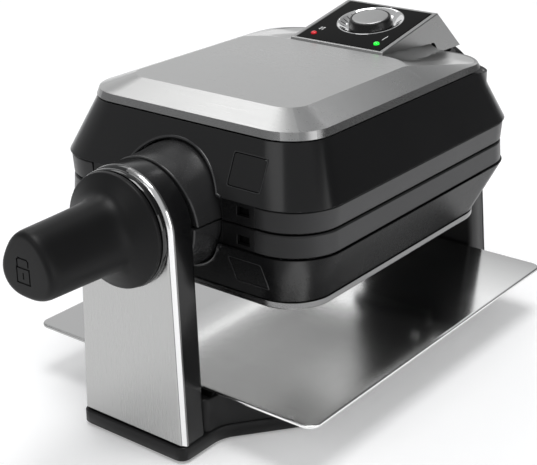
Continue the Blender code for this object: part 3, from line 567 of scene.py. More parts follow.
def arch_path(radius, flare, low):
    """Arch over the hub in (x, height), flaring into the bottom edge on the left."""
    centre_x = math.sqrt((radius + flare) ** 2 - (low + flare) ** 2)
    path = []
    for step in range(9):
        angle = math.radians(-90.0) + (math.atan2(-(low + flare), centre_x) + math.radians(90.0)) * step / 8
        path.append((-centre_x + flare * math.cos(angle), low + flare + flare * math.sin(angle)))
    start = math.atan2(low + flare, -centre_x)
    end = math.asin(low / radius)
    for step in range(1, 41):
        angle = start + (end - start) * step / 40
        path.append((radius * math.cos(angle), radius * math.sin(angle)))
    return path


def wall_y(height):
    return BODY_FRONT + DRAFT * (height - CASING_LOW)


def button_frame(sign):
    middle = 0.5 * (BUTTON_Z[0] + BUTTON_Z[1])
    place = Matrix.Translation((0.5 * (BUTTON_X[0] + BUTTON_X[1]), wall_y(middle), z_of(sign, middle)))
    return place @ Matrix.Rotation(-sign * math.atan(DRAFT), 4, "X")


def button_outline(grow, y, radius=1.6):
    half_x = 0.5 * (BUTTON_X[1] - BUTTON_X[0]) + grow
    half_h = 0.5 * (BUTTON_Z[1] - BUTTON_Z[0]) + grow
    return [(x, y, z) for x, z in rounded_box((half_x, -half_x), (half_h, -half_h), radius)]


def casing_shell(sign):
    half = title(sign)
    body = half_body(sign)
    rim = CASING_HIGH - 0.7
    ledge = CASING_HIGH - 1.9
    under = CASING_HIGH - CASING_WALL
    top_inset = DRAFT * (CASING_HIGH - CASING_LOW)
    rings = [casing_ring(inset, height, sign, shrink) for inset, height, shrink in (
        (0.0, CASING_LOW, 0.0),
        (DRAFT * (STEP_HEIGHT - CASING_LOW), STEP_HEIGHT, 0.0),
        (top_inset - 0.3, rim, 0.0),
        (top_inset + 1.4, rim, 1.0),
        (top_inset + 1.6, ledge, 1.0),
        (top_inset + 9.0, ledge, 9.0),
        (top_inset + 9.0, under, 9.0),
        (DRAFT * (under - CASING_LOW) + CASING_WALL, under, CASING_WALL),
        (CASING_WALL, CASING_LOW, CASING_WALL),
    )]
    profile = [(x, z_of(sign, h)) for x, h in arch_path(ARCH_RADIUS, ARCH_FLARE, CASING_LOW)]
    profile += [(ARCH_RADIUS, z_of(sign, -2.0)), (-70.0, z_of(sign, -2.0)), (-70.0, z_of(sign, CASING_LOW))]
    cuts = [
        wall_prism(profile, BODY_FRONT - 8.0, ARCH_REAR),
        placed(loft([button_outline(0.45, y, 1.9) for y in (-6.0, 9.0)]), button_frame(sign)),
    ]
    shell = piece(half + "_casing_shell", loft(rings, closed=True), CASING_FINISH[sign], body,
                  (half + "_casing",), 0.7, cuts)
    refinish(shell, "inner", lambda face: abs(face.normal.z) > 0.85 and face.center.y > 100.0 * MM)
    lip = [
        (x, wall_y(h) + 0.15, z_of(sign, h))
        for x, h in arch_path(ARCH_RADIUS + ARCH_LIP, ARCH_FLARE - ARCH_LIP, CASING_LOW + ARCH_LIP)
    ]
    lip.append((ARCH_RADIUS + ARCH_LIP, BODY_FRONT + 0.15, z_of(sign, CASING_LOW + 0.2)))
    piece(half + "_arch_lip", tube(lip, ARCH_LIP, 12), "arch", body)


def release_button(sign):
    half = title(sign)
    body = half + "_button"
    rings = [button_outline(grow, y) for grow, y in ((-0.35, 0.0), (0.0, 0.35), (0.0, 3.0))]
    piece(body + "_face", placed(loft(rings), button_frame(sign)), CASING_FINISH[sign], body,
          (half + "_release_button",), sharp=15.0)
    edge = ((0.25, 0.3), (0.3, -0.18), (0.7, -0.18), (0.8, 0.3))
    trim = [button_outline(grow, y) for grow, y in edge]
    piece(half + "_button_trim", placed(loft(trim, closed=True), button_frame(sign)), "outline",
          half_body(sign), sharp=15.0)


def band_ring(inset, height, sign):
    return rounded(BODY_HALF - inset, BODY_FRONT + inset, BODY_REAR - inset, BODY_RADIUS - inset,
                   z_of(sign, height), 16, 8)


def plate_band(sign):
    """Drafted metal frame with a dark guard plate and latch windows beside the hub."""
    half = title(sign)
    body = half_body(sign)
    edge = ((4.8, 0.5), (2.7, 0.5), (1.9, 1.4), (1.0, 13.6), (1.7, 14.4), (4.8, 14.4))
    rings = [band_ring(inset, height, sign) for inset, height in edge]
    hub_hole = turned([(ARCH_RADIUS, BODY_FRONT - 6.0), (ARCH_RADIUS, ARCH_REAR)], 96)
    recess = block((-BAND_RECESS_X, BAND_RECESS_X), (BODY_FRONT - 4.0, BODY_FRONT + 2.2),
                   sorted((z_of(sign, -1.0), z_of(sign, 16.0))))
    piece(half + "_plate_band", loft(rings, closed=True), "band", body, (half + "_frame",), 0.25,
          [hub_hole, recess] + windows(sign), 2)
    for side in (-1, 1):
        xs = sorted((side * (ARCH_RADIUS + 0.4), side * (BAND_RECESS_X - 0.25)))
        guard = block(xs, (BODY_FRONT + 1.7, BODY_FRONT + 2.9), sorted((z_of(sign, 0.7), z_of(sign, 14.3))))
        label = "left" if side < 0 else "right"
        piece("%s_guard_%s" % (half, label), guard, "guard", body, (), 0.35, windows(sign), 2)


def windows(sign):
    made = []
    for side in (-1, 1):
        xs = sorted((side * WINDOW_X[0], side * WINDOW_X[1]))
        zs = sorted((z_of(sign, WINDOW_Z[0]), z_of(sign, WINDOW_Z[1])))
        made.append(block(xs, (BODY_FRONT - 6.0, BODY_FRONT + 12.0), zs))
    return made


def hub_shell(sign):
    """Half of the split hub; the upper front edge is relieved so that the half can swing open."""
    steps = 44
    profile = (
        (36.2, -114.7), (36.85, -114.2), (37.0, -113.2), (37.0, -104.0), (37.2, -98.0), (38.3, -90.0),
        (38.6, -86.0), (38.6, -74.5), (31.0, -74.5), (31.0, -114.7),
    )
    rings = []
    for step in range(steps + 1):
        share = step / steps
        ring = []
        for radius, y in profile:
            drop = 0.42 / radius
            bent = drop + (math.pi - 2.0 * drop) * share
            height = radius * math.sin(bent)
            if sign > 0 and y < -112.0:
                y += 3.3 * ((HINGE_RISE - height) / HINGE_RISE) ** 2
            ring.append((radius * math.cos(bent), y, z_of(sign, height)))
        rings.append(ring)
    piece(title(sign) + "_hub_shell", loft(rings), "hub", half_body(sign), (title(sign) + "_hub",), 0.4)


# --- covers

def cover_top(x, y):
    """Height of the upper cover: flat plateau, then a dished rear that rises to the housing."""
    start = SCOOP_START - 13.0 * clamp((abs(x) - 42.0) / 25.0) ** 2.5
    fall = clamp((y - start) / (SCOOP_END - start))
    base = REAR_EDGE + (PLATEAU - REAR_EDGE) * (1.0 - fall) ** 3.6
    rim = PLATEAU - 0.151 * max(0.0, y - start)
    base += max(0.0, rim - base) * smooth_step((abs(x) - 49.0) / 19.0)
    foot = 62.6 - 0.085 * max(0.0, y - 76.0)
    near = clamp((48.0 - abs(x)) / 10.0) ** 1.3
    return base + max(0.0, foot - base) * near * smooth_step((y - 72.0) / 8.0)


def cover_stations():
    """Right-hand stations of the lip edge and the crease: lists of (lip x, lip y, crease x, crease y)."""
    radius = COVER_RADIUS - LIP_DRAW
    lip_x = COVER_HALF - COVER_RADIUS
    front_y = COVER_FRONT + COVER_RADIUS
    rear_y = COVER_REAR - COVER_RADIUS
    inner_x = PLATEAU_HALF - PLATEAU_RADIUS
    inner_y = PLATEAU_FRONT + PLATEAU_RADIUS
    rows = []
    for step in range(13):
        angle = 0.25 * TAU * step / 12
        rows.append((
            lip_x + radius * math.sin(angle), front_y - radius * math.cos(angle),
            inner_x + PLATEAU_RADIUS * math.sin(angle), inner_y - PLATEAU_RADIUS * math.cos(angle),
        ))
    start_x = lip_x + radius - 6.5
    places = [inner_y + (55.0 - inner_y) * step / 8 for step in range(1, 9)]
    places += [55.0 + step for step in range(1, 29)]
    places += [83.0 + (rear_y - 83.0) * step / 12 for step in range(1, 13)]
    for y in places:
        share = (y - inner_y) / (rear_y - inner_y)
        out = max(0.0, (y - 59.0) / (rear_y - 59.0))
        rows.append((lip_x + radius, front_y + (rear_y - front_y) * share,
                     PLATEAU_HALF + (start_x - PLATEAU_HALF) * out, y))
    for step in range(1, 13):
        angle = 0.25 * TAU * step / 12
        inset = 1.5 + 5.0 * max(0.0, 1.0 - step / 6.0) ** 1.3
        rows.append((
            lip_x + radius * math.cos(angle), rear_y + radius * math.sin(angle),
            lip_x + (radius - inset) * math.cos(angle), rear_y + (radius - inset) * math.sin(angle),
        ))
    return rows


def lip_top(y):
    return LIP_HIGH - (LIP_HIGH - REAR_EDGE - 0.2) * smooth_step((y - 96.0) / 40.0)


def upper_cover_skin():
    """Lip, facets, plateau and dished rear of the steel top as one watertight sheet."""
    across = 72
    shares = [2.0 * column / across - 1.0 for column in range(across + 1)]
    rows = cover_stations()
    points = []
    grid = []
    for _, _, crease_x, y in rows:
        grid.append(list(range(len(points), len(points) + across + 1)))
        points += [(crease_x * share, y, z_of(1, cover_top(crease_x * share, y))) for share in shares]
    faces = []
    for near, far in zip(grid, grid[1:]):
        for column in range(across):
            faces.append((near[column], near[column + 1], far[column + 1], far[column]))
    inner_faces = len(faces)
    front_x = COVER_HALF - COVER_RADIUS
    border = list(grid[0])
    lip = [(front_x * share, COVER_FRONT + LIP_DRAW) for share in shares]
    border += [line[-1] for line in grid[1:]]
    lip += [(x, y) for x, y, _, _ in rows[1:]]
    border += grid[-1][-2::-1]
    lip += [(front_x * share, COVER_REAR - LIP_DRAW) for share in shares[-2::-1]]
    border += [line[0] for line in grid[-2:0:-1]]
    lip += [(-x, y) for x, y, _, _ in rows[-2:0:-1]]
    upper = list(range(len(points), len(points) + len(lip)))
    points += [(x, y, z_of(1, lip_top(y))) for x, y in lip]
    lower = list(range(len(points), len(points) + len(lip)))
    middle_y = 0.5 * (COVER_FRONT + COVER_REAR)
    half_y = 0.5 * (COVER_REAR - COVER_FRONT)
    for x, y in lip:
        points.append((x * COVER_HALF / (COVER_HALF - LIP_DRAW),
                       middle_y + (y - middle_y) * half_y / (half_y - LIP_DRAW), z_of(1, LIP_LOW)))
    for inner, outer in ((border, upper), (upper, lower)):
        for index in range(len(inner)):
            after = (index + 1) % len(inner)
            faces.append((inner[index], inner[after], outer[after], outer[index]))
    made = make("upper_cover_skin", (points, faces))
    work = bmesh.new()
    work.from_mesh(made.data)
    if sum(face.normal.z for face in work.faces) < 0.0:
        bmesh.ops.reverse_faces(work, faces=work.faces)
    work.to_mesh(made.data)
    work.free()
    made.data.shade_smooth()
    made.data.materials.append(FINISH["cover"])
    cover_finishes(made, inner_faces)
    thick = made.modifiers.new("sheet", "SOLIDIFY")
    thick.thickness = 1.1 * MM
    thick.offset = -1.0
    soften(made, 1.1, 3, 11.5)
    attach(made, "upper_half")
    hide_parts("upper_cover")


def cover_finishes(target, inner_faces):
    """Painted shade: darker side facets and lip outside the plateau's faces; the lip's front corners stay
    bright.
    """
    target.data.materials.append(FINISH["lip"])
    target.data.materials.append(FINISH["facet"])
    for face in target.data.polygons:
        level = face.normal.z
        across = abs(face.normal.x)
        along = face.normal.y
        face.material_index = 0
        if level < 0.35 and not (0.5 < across < 0.85 and along < 0.0):
            face.material_index = 1
        elif face.index >= inner_faces and level < 0.995:
            if across > abs(along) or face.center.y > 40.0 * MM:
                face.material_index = 2


def control_housing():
    side = [
        (77.0, 58.0), (77.0, 61.4), NOSE, RIDGE, (183.0, 47.4), (157.0, 48.0), (152.6, 49.6), (149.4, 51.6),
        (147.4, 54.4), (145.4, 56.4), (142.0, 57.0), (138.0, 51.6), (100.0, 51.6),
    ]
    outline = [(y, AXIS_Z + z) for y, z in side]
    pocket = block((-PANEL_HALF - 0.3, PANEL_HALF + 0.3), (-0.3, up_slope(PANEL_REAR) + 0.3), (-1.8, 6.0))
    dish_hole = on_panel([(DISH_HOLE + 0.05, -9.0), (DISH_HOLE + 0.05, 6.0)], 0.0, DIAL_Y)
    shell = piece("control_housing", prism(HOUSING_HALF, outline), "housing", "upper_half", (), 0.7,
                  [placed(pocket, panel_frame()), dish_hole])
    # Upward faces keep the cover steel; the darker sides are painted shade.
    refinish(shell, "cover", lambda face: face.normal.z > 0.9)


def lower_cover_skin():
    rings = []
    for inset, height in ((0.0, LIP_LOW), (0.0, 54.4), (0.5, 55.2), (1.4, LIP_HIGH)):
        rings.append(rounded(COVER_HALF - inset, COVER_FRONT + inset, COVER_REAR - inset,
                             COVER_RADIUS - inset, z_of(-1, height), 14, 6))
    for out, height in ((0.6, 62.8), (0.0, PLATEAU)):
        rings.append(rounded(PLATEAU_HALF + out, PLATEAU_FRONT - out, 121.0 + out, PLATEAU_RADIUS + out,
                             z_of(-1, height), 14, 6))
    skin = piece("lower_cover_skin", loft(rings), "lower_top", "lower_half", ("lower_cover",), 0.35, (), 2)
    # Painted shade: the lower cover's lip gets the darker steel.
    refinish(skin, "lip", lambda face: abs(face.normal.z) < 0.6)
    for x in (-54.0, 54.0):
        for y in (-46.0, 108.0):
            recess_screw("lower_cover_screw_%d_%d" % (x, y), x, y, z_of(-1, PLATEAU), -1.0, "lower_half")


def recess_screw(name, x, y, z, facing, body):
    """Domed cross-head screw standing on a face that looks up or down."""
    profile = [(3.4, 0.0), (3.4, 0.35), (2.9, 0.8), (1.8, 1.15), (0.6, 1.25)]
    shape = upright([(r, z + facing * h) for r, h in profile], x, y, 28)
    deep = sorted((z + facing * 0.6, z + facing * 2.0))
    cross = [block((x - a, x + a), (y - b, y + b), deep) for a, b in ((1.7, 0.35), (0.35, 1.7))]
    piece(name, shape, "turned", body, cuts=cross)


# --- controls

def panel_frame():
    height = AXIS_Z + NOSE[1] + math.tan(SLOPE) * (PANEL_FRONT - NOSE[0])
    return Matrix.Translation((0.0, PANEL_FRONT, height)) @ Matrix.Rotation(SLOPE, 4, "X")


def up_slope(y):
    return (y - PANEL_FRONT) / math.cos(SLOPE)


def on_panel(profile, x, y, count=64, closed=False):
    return placed(upright(profile, x, up_slope(y), count, closed), panel_frame())


def panel_hole(radius, x, y, count=64):
    return on_panel([(radius, -4.0), (radius, 4.0)], x, y, count)


def printed_mark(name, x0, y0, x1, y1, width):
    """Thin printed line on the panel between two points."""
    ring = strip((x0, up_slope(y0)), (x1, up_slope(y1)), width)
    line = loft([[(x, y, z) for x, y in ring] for z in (-0.2, 0.06)])
    piece(name, placed(line, panel_frame()), "ink", "upper_half", bevel=0.02)


def panel_face():
    length = up_slope(PANEL_REAR)
    corners = [(PANEL_HALF, 0.0, 1.2), (PANEL_HALF, length, 1.2), (-PANEL_HALF, length, 1.2),
               (-PANEL_HALF, 0.0, 1.2)]
    ring = fillet(corners, 5)
    plate = loft([[(x, y, z) for x, y in ring] for z in (-1.5, 0.0)])
    dial_hole = panel_hole(DISH_HOLE, 0.0, DIAL_Y)
    cuts = [dial_hole] + [panel_hole(LAMP_HOLE, side * LAMP_X, LAMP_Y, 32) for side in (-1, 1)]
    piece("panel_face", placed(plate, panel_frame()), "panel", "upper_half", ("control_panel",), 0.3, cuts,
          2)
    well = placed(block((-33.0, 33.0), (2.0, length - 2.0), (-2.4, -1.7)), panel_frame())
    piece("panel_backing", well, "inner", "upper_half", bevel=0.2, cuts=[dial_hole])


def panel_marks():
    printed_mark("mark_pointer", 1.5, 144.3, 1.5, 146.0, 0.9)
    printed_mark("mark_ready", 26.3, 95.4, 26.8, 102.2, 0.6)
    for column in range(2):
        for row in range(2):
            x = -26.6 + 2.2 * column
            y = 96.0 + 2.4 * row
            printed_mark("mark_power_%d_%d" % (column, row), x, y, x + 0.9, y + 1.3, 1.2)


def on_dial(profile, closed=False):
    return on_panel(profile, 0.0, DIAL_Y, 96, closed)


def dial():
    dish = [(23.8, -1.2), (23.8, 0.05), (23.65, 0.25), (23.3, 0.3), (22.9, 0.12), (22.0, -0.5),
            (19.4, -2.35), (18.2, -3.05), (17.2, -3.45), (16.2, -3.6), (5.6, -3.6), (5.6, -4.5),
            (17.6, -4.5), (20.2, -3.4)]
    piece("dish_chrome", on_dial(dish, True), "chrome", "upper_half", ("dial_dish",))
    skirt = [(4.2, -9.0), (4.2, -3.3), (15.0, -3.3), (15.5, -3.0), (15.6, -2.4), (15.3, -0.6), (14.55, 2.1),
             (14.4, 2.6), (14.1, 2.9), (13.7, 3.0), (13.1, 3.0), (12.9, 2.6), (12.9, 2.3)]
    piece("knob_skirt", on_dial(skirt), "knob", "dial", ("dial_knob",))
    cap = [(12.7, 2.5), (12.7, 2.95), (12.4, 3.2), (11.8, 3.3), (5.0, 3.38), (0.8, 3.4)]
    piece("knob_cap_disc", on_dial(cap), "knob_cap", "dial", ("dial_cap",))
    for number, degrees in enumerate([*range(150, 235, 12), *range(-55, 30, 12)]):
        piece("dial_tick_%02d" % number, dial_tick(math.radians(degrees)), "mark", "upper_half")


def dial_tick(angle):
    """Dark line up the slope of the dish, a little wider at its outer end."""
    across, along = math.cos(angle), math.sin(angle)
    ring = []
    for radius, half, z, sides in ((17.6, 0.16, -3.3, (-1, 1)), (21.6, 0.21, -0.72, (1, -1))):
        for side in sides:
            ring.append((radius * across - side * half * along,
                         up_slope(DIAL_Y) + radius * along + side * half * across, z))
    return placed(loft([[(x, y, z + lift) for x, y, z in ring] for lift in (-0.2, 0.05)]), panel_frame())


def lamps():
    lens = [(2.1, -0.9), (2.1, 0.25), (1.95, 0.6), (1.5, 0.95), (0.8, 1.15), (0.2, 1.2)]
    for side, colour in ((-1, "red"), (1, "green")):
        node = "light_" + colour
        piece(node + "_lens", on_panel(lens, side * LAMP_X, LAMP_Y, 32), colour, "upper_half", (node,))


# --- handle

def lobed(radius, lobe, y, count=108):
    """Ring round the axis with three soft lobes, one of them on top."""
    ring = []
    for i, (c, s) in enumerate(wheel(count)):
        reach = radius * (1.0 + lobe * math.cos(3.0 * (TAU * i / count - 0.25 * TAU)))
        ring.append((reach * c, y, AXIS_Z + reach * s))
    return ring


def grip():
    stations = (
        (34.6, 0.0, GRIP_START), (35.2, 0.0, -140.6), (35.4, 0.0, -141.2), (35.3, 0.0, -142.4),
        (35.15, 0.0, -143.2), (34.9, 0.0, -143.6), (34.4, 0.0, -143.9), (33.4, 0.0, -144.4),
        (31.6, 0.02, -145.5), (29.6, 0.05, -146.8),
        (27.6, 0.12, -148.1), (25.9, 0.24, -149.4), (24.5, 0.42, -150.9), (23.4, 0.6, -152.6),
        (22.6, 0.76, -154.6), (22.05, 0.88, -157.0), (21.65, 0.95, -160.0), (21.2, 1.0, -166.0),
        (20.7, 1.0, -182.0), (20.45, 1.0, -192.0), (20.25, 1.0, -201.0), (20.1, 1.0, -205.4),
        (19.75, 1.0, -207.6), (19.2, 1.0, -209.1), (18.4, 1.0, -210.0), (17.4, 1.0, -210.45),
        (16.0, 1.0, GRIP_END), (10.0, 1.0, GRIP_END),
    )
    outer = [lobed(radius, share * 0.075, y) for radius, share, y in stations]
    inner = [lobed(GRIP_BORE, 0.0, y) for y in (GRIP_START, -198.0)]
    piece("grip_shell", tub(outer, inner), "grip", "handle", ("handle_grip",), cuts=padlock_cuts(),
          sharp=40.0)


def mark_stroke(x0, z0, x1, z1, width, y0, y1):
    """Straight stroke on the grip's end face."""
    return wall_prism(strip((x0, z0), (x1, z1), width, 0.5 * width), y0, y1)


def padlock_strokes():
    """Open padlock drawing: body, shackle and keyhole, as (x0, z0, x1, z1)."""
    left, right, bottom, top = -6.9, 2.9, 136.2, 145.2
    return [
        (left, bottom, right, bottom), (right, bottom, right, top), (right, top, left, top),
        (left, top, left, bottom), (-6.3, top, -6.3, 149.6), (-6.3, 149.6, -5.2, 150.8),
        (-5.2, 150.8, 1.2, 150.8),
        (1.2, 150.8, 2.3, 149.6), (2.3, 149.6, 2.3, 146.8), (-2.0, 139.2, -2.0, 142.0),
    ]


def padlock_cuts():
    return [mark_stroke(*stroke, 1.0, GRIP_END - 1.0, GRIP_END + 0.55) for stroke in padlock_strokes()]


def padlock_mark():
    """Dark inlay at the floor of the engraved padlock."""
    points = []
    faces = []
    for stroke in padlock_strokes():
        more, more_faces = mark_stroke(*stroke, 0.94, GRIP_END + 0.3, GRIP_END + 0.7)
        faces += [tuple(index + len(points) for index in face) for face in more_faces]
        points += more
    piece("padlock_inlay", (points, faces), "mark", "handle", ("handle_badge",))


def collar():
    profile = [
        (35.2, -140.0), (35.7, -139.85), (35.95, -139.4), (36.1, -138.6), (36.2, -137.4), (36.1, -136.7),
        (35.6, -136.2), (34.6, -136.0), (14.4, -136.0), (14.4, -140.0),
    ]
    piece("collar_disc", turned(profile, 120, True), "ring", "lower_half", ("handle_collar",))


# --- columns

def tombstone(top_half, foot_half, foot_z, y, inset):
    """Round-topped column outline, wider at the foot."""
    radius = top_half - inset
    half = foot_half - inset
    low = foot_z + min(inset, 1.0)
    rows = 12
    steps = 48
    side = []
    for row in range(rows + 1):
        share = row / rows
        side.append((half + (radius - half) * share, y, low + (AXIS_Z - low) * share))
    arc = []
    for step in range(1, steps):
        angle = math.pi * step / steps
        arc.append((radius * math.cos(angle), y, AXIS_Z + radius * math.sin(angle)))
    return side + arc + [(-x, y, z) for x, y, z in reversed(side)]


def front_column():
    def body_ring(y, inset):
        return tombstone(COLUMN_TOP - 0.4, COLUMN_FOOT - 0.4, COLUMN_FOOT_Z, y, inset)
    edge = ((-131.0, 0.0), (-117.6, 0.0), (-116.4, 0.25), (-115.5, 0.9), (-115.1, 1.9), (-115.0, 3.0))
    outer = [body_ring(*place) for place in edge]
    inner = [body_ring(-131.0, 2.6), body_ring(-118.0, 2.6)]
    hole = turned([(SHAFT_HOLE, -135.0), (SHAFT_HOLE, -111.0)])
    piece("column_body", tub(outer, inner), "casing", "base", ("front_column",), cuts=[hole], sharp=40.0)

    def face_ring(y, inset):
        return tombstone(COLUMN_TOP, COLUMN_FOOT, COLUMN_FOOT_Z, y, inset)
    outer = [face_ring(FACE_BACK, 0.0)]
    for step in range(13):
        angle = 0.25 * TAU * step / 12
        outer.append(face_ring(FACE_BACK - 0.3 - 4.0 * math.sin(angle), 3.6 * (1.0 - math.cos(angle))))
    inner = [face_ring(FACE_BACK, 1.2), face_ring(FACE_BACK - 2.3, 3.2)]
    hole = turned([(SHAFT_HOLE - 0.3, -139.0), (SHAFT_HOLE - 0.3, -128.0)])
    face = piece("column_face", tub(outer, inner), "column", "base", ("front_column_cover",), cuts=[hole],
                 sharp=40.0)

    # Polished rounding with a painted highlight: only its right-hand side gets the bright steel.
    def polish_and_highlight_side(normal):
        return 0.25 <= abs(normal.y) < 0.84 and normal.x > 0.35

    # Painted shade: gloss black over the top-left of the steel rounding, under the collar.
    def painted_shade_side(normal):
        return -0.97 < normal.y < -0.02 and normal.z > 0.3 and normal.x < 0.1
    # Painted shade: the rounded sides of the column face get the darker steel.
    refinish(face, "lip", lambda polygon: abs(polygon.normal.y) < 0.9)
    refinish(face, "polish", lambda polygon: polish_and_highlight_side(polygon.normal))
    refinish(face, "ring", lambda polygon: painted_shade_side(polygon.normal))


def rear_column():
    def ring(y, inset):
        return tombstone(REAR_TOP, REAR_FOOT, REAR_FOOT_Z, y, inset)
    edge = ((207.6, 0.35), (207.2, 0.0), (191.6, 0.0), (189.8, 0.4), (188.6, 1.3), (188.1, 2.4),
            (188.0, 3.6))
    outer = [ring(*place) for place in edge]
    inner = [ring(207.6, 2.6), ring(190.8, 2.6)]
    hole = turned([(SHAFT_HOLE, 183.0), (SHAFT_HOLE, 211.0)])
    piece("rear_column_shell", tub(outer, inner), "plastic", "base", ("rear_column",), cuts=[hole],
          sharp=40.0)
    edge = ((207.95, 0.3), (208.3, 0.0), (209.3, 0.05), (210.0, 0.5), (210.4, 1.3), (210.5, 2.2))
    plate = [ring(*place) for place in edge]
    inlet = turned([(6.0, 204.0), (6.0, 214.0)], 40, z=INLET_Z)
    vents = []
    for row in range(6):
        z = 60.0 + 6.5 * row
        vents.append(wall_prism(rounded_box((-16.0, 16.0), (z - 1.2, z + 1.2), 1.2), 209.0, 213.0))
    piece("rear_cover_plate", loft(plate), "plastic", "base", ("rear_column_back",), cuts=[inlet] + vents,
          sharp=40.0)
    for x, z in ((-30.0, 132.0), (30.0, 132.0), (-40.0, 30.0), (40.0, 30.0)):
        dome = turned([(3.2, 210.3), (3.2, 210.42), (2.2, 210.48), (0.5, 210.5)], 28, x=x, z=z)
        piece("rear_plate_screw_%d_%d" % (x, z), dome, "turned", "base")
    gland = turned([
        (5.7, 210.3), (5.7, 207.8), (8.0, 207.2), (8.0, 204.6), (3.4, 204.6), (3.4, 210.3), (4.2, 210.5),
        (5.2, 210.5),
    ], 40, True, z=INLET_Z)
    piece("inlet_gland", gland, "rubber", "base", ("cord_inlet",))


# --- base and tray

def base_plan(inset, front, rear, z):
    """Waisted plan of the base, rounded at each corner."""
    half = COLUMN_FOOT + 0.9 - inset
    wide = BASE_HALF - inset
    tail = REAR_FOOT + 0.9 - inset
    right = [
        (half, front, 7.0), (half, -101.0 + 0.4 * inset, 8.0), (wide, -53.0 + 0.6 * inset, 10.0),
        (wide, 134.0 - 0.4 * inset, 10.0), (tail, 171.0 - 0.5 * inset, 8.0), (tail, rear, 5.0),
    ]
    corners = right + [(-x, y, radius) for x, y, radius in reversed(right)]
    return [(x, y, z) for x, y in fillet(corners, 6)]


def stacked(front, rear, edges):
    """Base outlines from (plan inset, end inset, z), each one's ends drawn in by its end inset."""
    return loft([base_plan(inset, front + ends, rear - ends, z) for inset, ends, z in edges])


def base():
    skirt = stacked(BASE_FRONT, BASE_REAR, (
        (0.8, 0.8, FEET_TALL), (0.0, 0.0, FEET_TALL + 0.8), (0.0, 0.0, LEDGE_Z - 1.1),
        (0.35, 0.35, LEDGE_Z - 0.3), (1.2, 1.2, LEDGE_Z),
    ))
    piece("base_skirt", skirt, "plastic", "base", ("base_body",), sharp=50.0)
    tier = stacked(TIER_FRONT, TIER_REAR, (
        (1.2, 0.0, LEDGE_Z - 1.0), (1.8, 0.0, TIER_Z - 1.0), (2.2, 0.3, TIER_Z - 0.3), (3.0, 1.0, TIER_Z),
    ))
    piece("base_tier", tier, "plastic", "base", sharp=50.0)
    keep("base_plate", "inner", 0.4)
    for number in range(1, 5):
        low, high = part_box("rubber_foot_%d" % number)
        x = 0.5 * (low.x + high.x) / MM
        y = 0.5 * (low.y + high.y) / MM
        profile = [(7.6, 0.0), (8.5, 0.15), (9.0, 0.6), (9.0, 1.45), (5.0, 1.45)]
        piece("foot_pad_%d" % number, upright(profile, x, y, 40), "rubber", "base",
              ("rubber_foot_%d" % number,))
        low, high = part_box("tray_pad_%d" % number)
        ring = rounded_box((low.x / MM, high.x / MM), (low.y / MM, high.y / MM), 1.2)
        rings = [[(x, y, z) for x, y in ring] for z in (low.z / MM, high.z / MM)]
        piece("tray_rest_%d" % number, loft(rings), "rubber", "base", ("tray_pad_%d" % number,), 0.35)
        if low.y < 0.0:
            tray_stop("tray_stop_%d" % number, 0.5 * (low.x + high.x) / MM)


def tray_stop(name, x):
    """Dark half-round lug that keeps the tray's front edge in line."""
    x += math.copysign(0.9, x)
    side = 5.1
    top = 37.4
    outline = [(x - side, top), (x + side, top)]
    for step in range(1, 16):
        angle = math.pi * step / 16
        outline.append((x + side * math.cos(angle), top - 4.3 * math.sin(angle)))
    piece(name, wall_prism(outline, -108.0, -105.4), "mark", "base", bevel=0.2)


def tray():
    def ring(inset, z):
        radius = TRAY_RADIUS - min(inset, 4.0)
        return rounded(TRAY_HALF - inset, TRAY_FRONT + inset, TRAY_REAR - inset, radius, z, 12, 4)
    low = TRAY_TOP - 1.9
    edge = ((0.3, low), (0.0, low + 0.3), (0.0, TRAY_TOP - 0.6), (0.2, TRAY_TOP - 0.2), (0.6, TRAY_TOP),
            (2.0, TRAY_TOP))
    outer = [ring(*place) for place in edge]
    inner = [ring(0.9, low), ring(0.9, TRAY_TOP - 0.9)]
    piece("tray_sheet", tub(outer, inner), "tray", "tray", ("drip_tray",), sharp=50.0)


# --- studio

def studio_surface():
    made = surface("studio_floor", (0.86, 0.86, 0.865), 0.55, spread=0.04, vary=0.012, grain=60.0, bump=0.01,
                   specular=0.2, cloud=1.5)
    shader = made.node_tree.nodes["Principled BSDF"]
    settle(shader, Emission_Color=(1.0, 1.0, 1.0, 1.0), Emission_Strength=0.22)
    half = 9.0
    steps = 24
    row = steps + 1
    mesh = bpy.data.meshes.new("studio_floor")
    lines = [half * (2.0 * step / steps - 1.0) for step in range(row)]
    points = [(x, y, 0.0) for y in lines for x in lines]
    corners = [j * row + i for j in range(steps) for i in range(steps)]
    faces = [(first, first + 1, first + row + 1, first + row) for first in corners]
    mesh.from_pydata(points, [], faces)
    mesh.materials.append(made)
    floor = stand("studio_floor", mesh)


def panel_light(name, place, wide, tall, radiance):
    """Soft rectangular light that looks at the middle, its power from its area."""
    data = bpy.data.lights.new(name, "AREA")
    data.shape = "RECTANGLE"
    data.size = wide
    data.size_y = tall
    data.energy = radiance * math.pi * wide * tall
    made = stand(name, data)
    made.location = place
    made.rotation_mode = "QUATERNION"
    made.rotation_quaternion = (Vector(MIDDLE) - place).to_track_quat("-Z", "Y")


def seen_from(turn, rise, distance):
    """Point at a distance from the object, turned from the rear towards the right and raised."""
    turn = math.radians(turn)
    rise = math.radians(rise)
    level = distance * math.cos(rise)
    offset = Vector((level * math.sin(turn), level * math.cos(turn), distance * math.sin(rise)))
    return Vector(MIDDLE) + offset


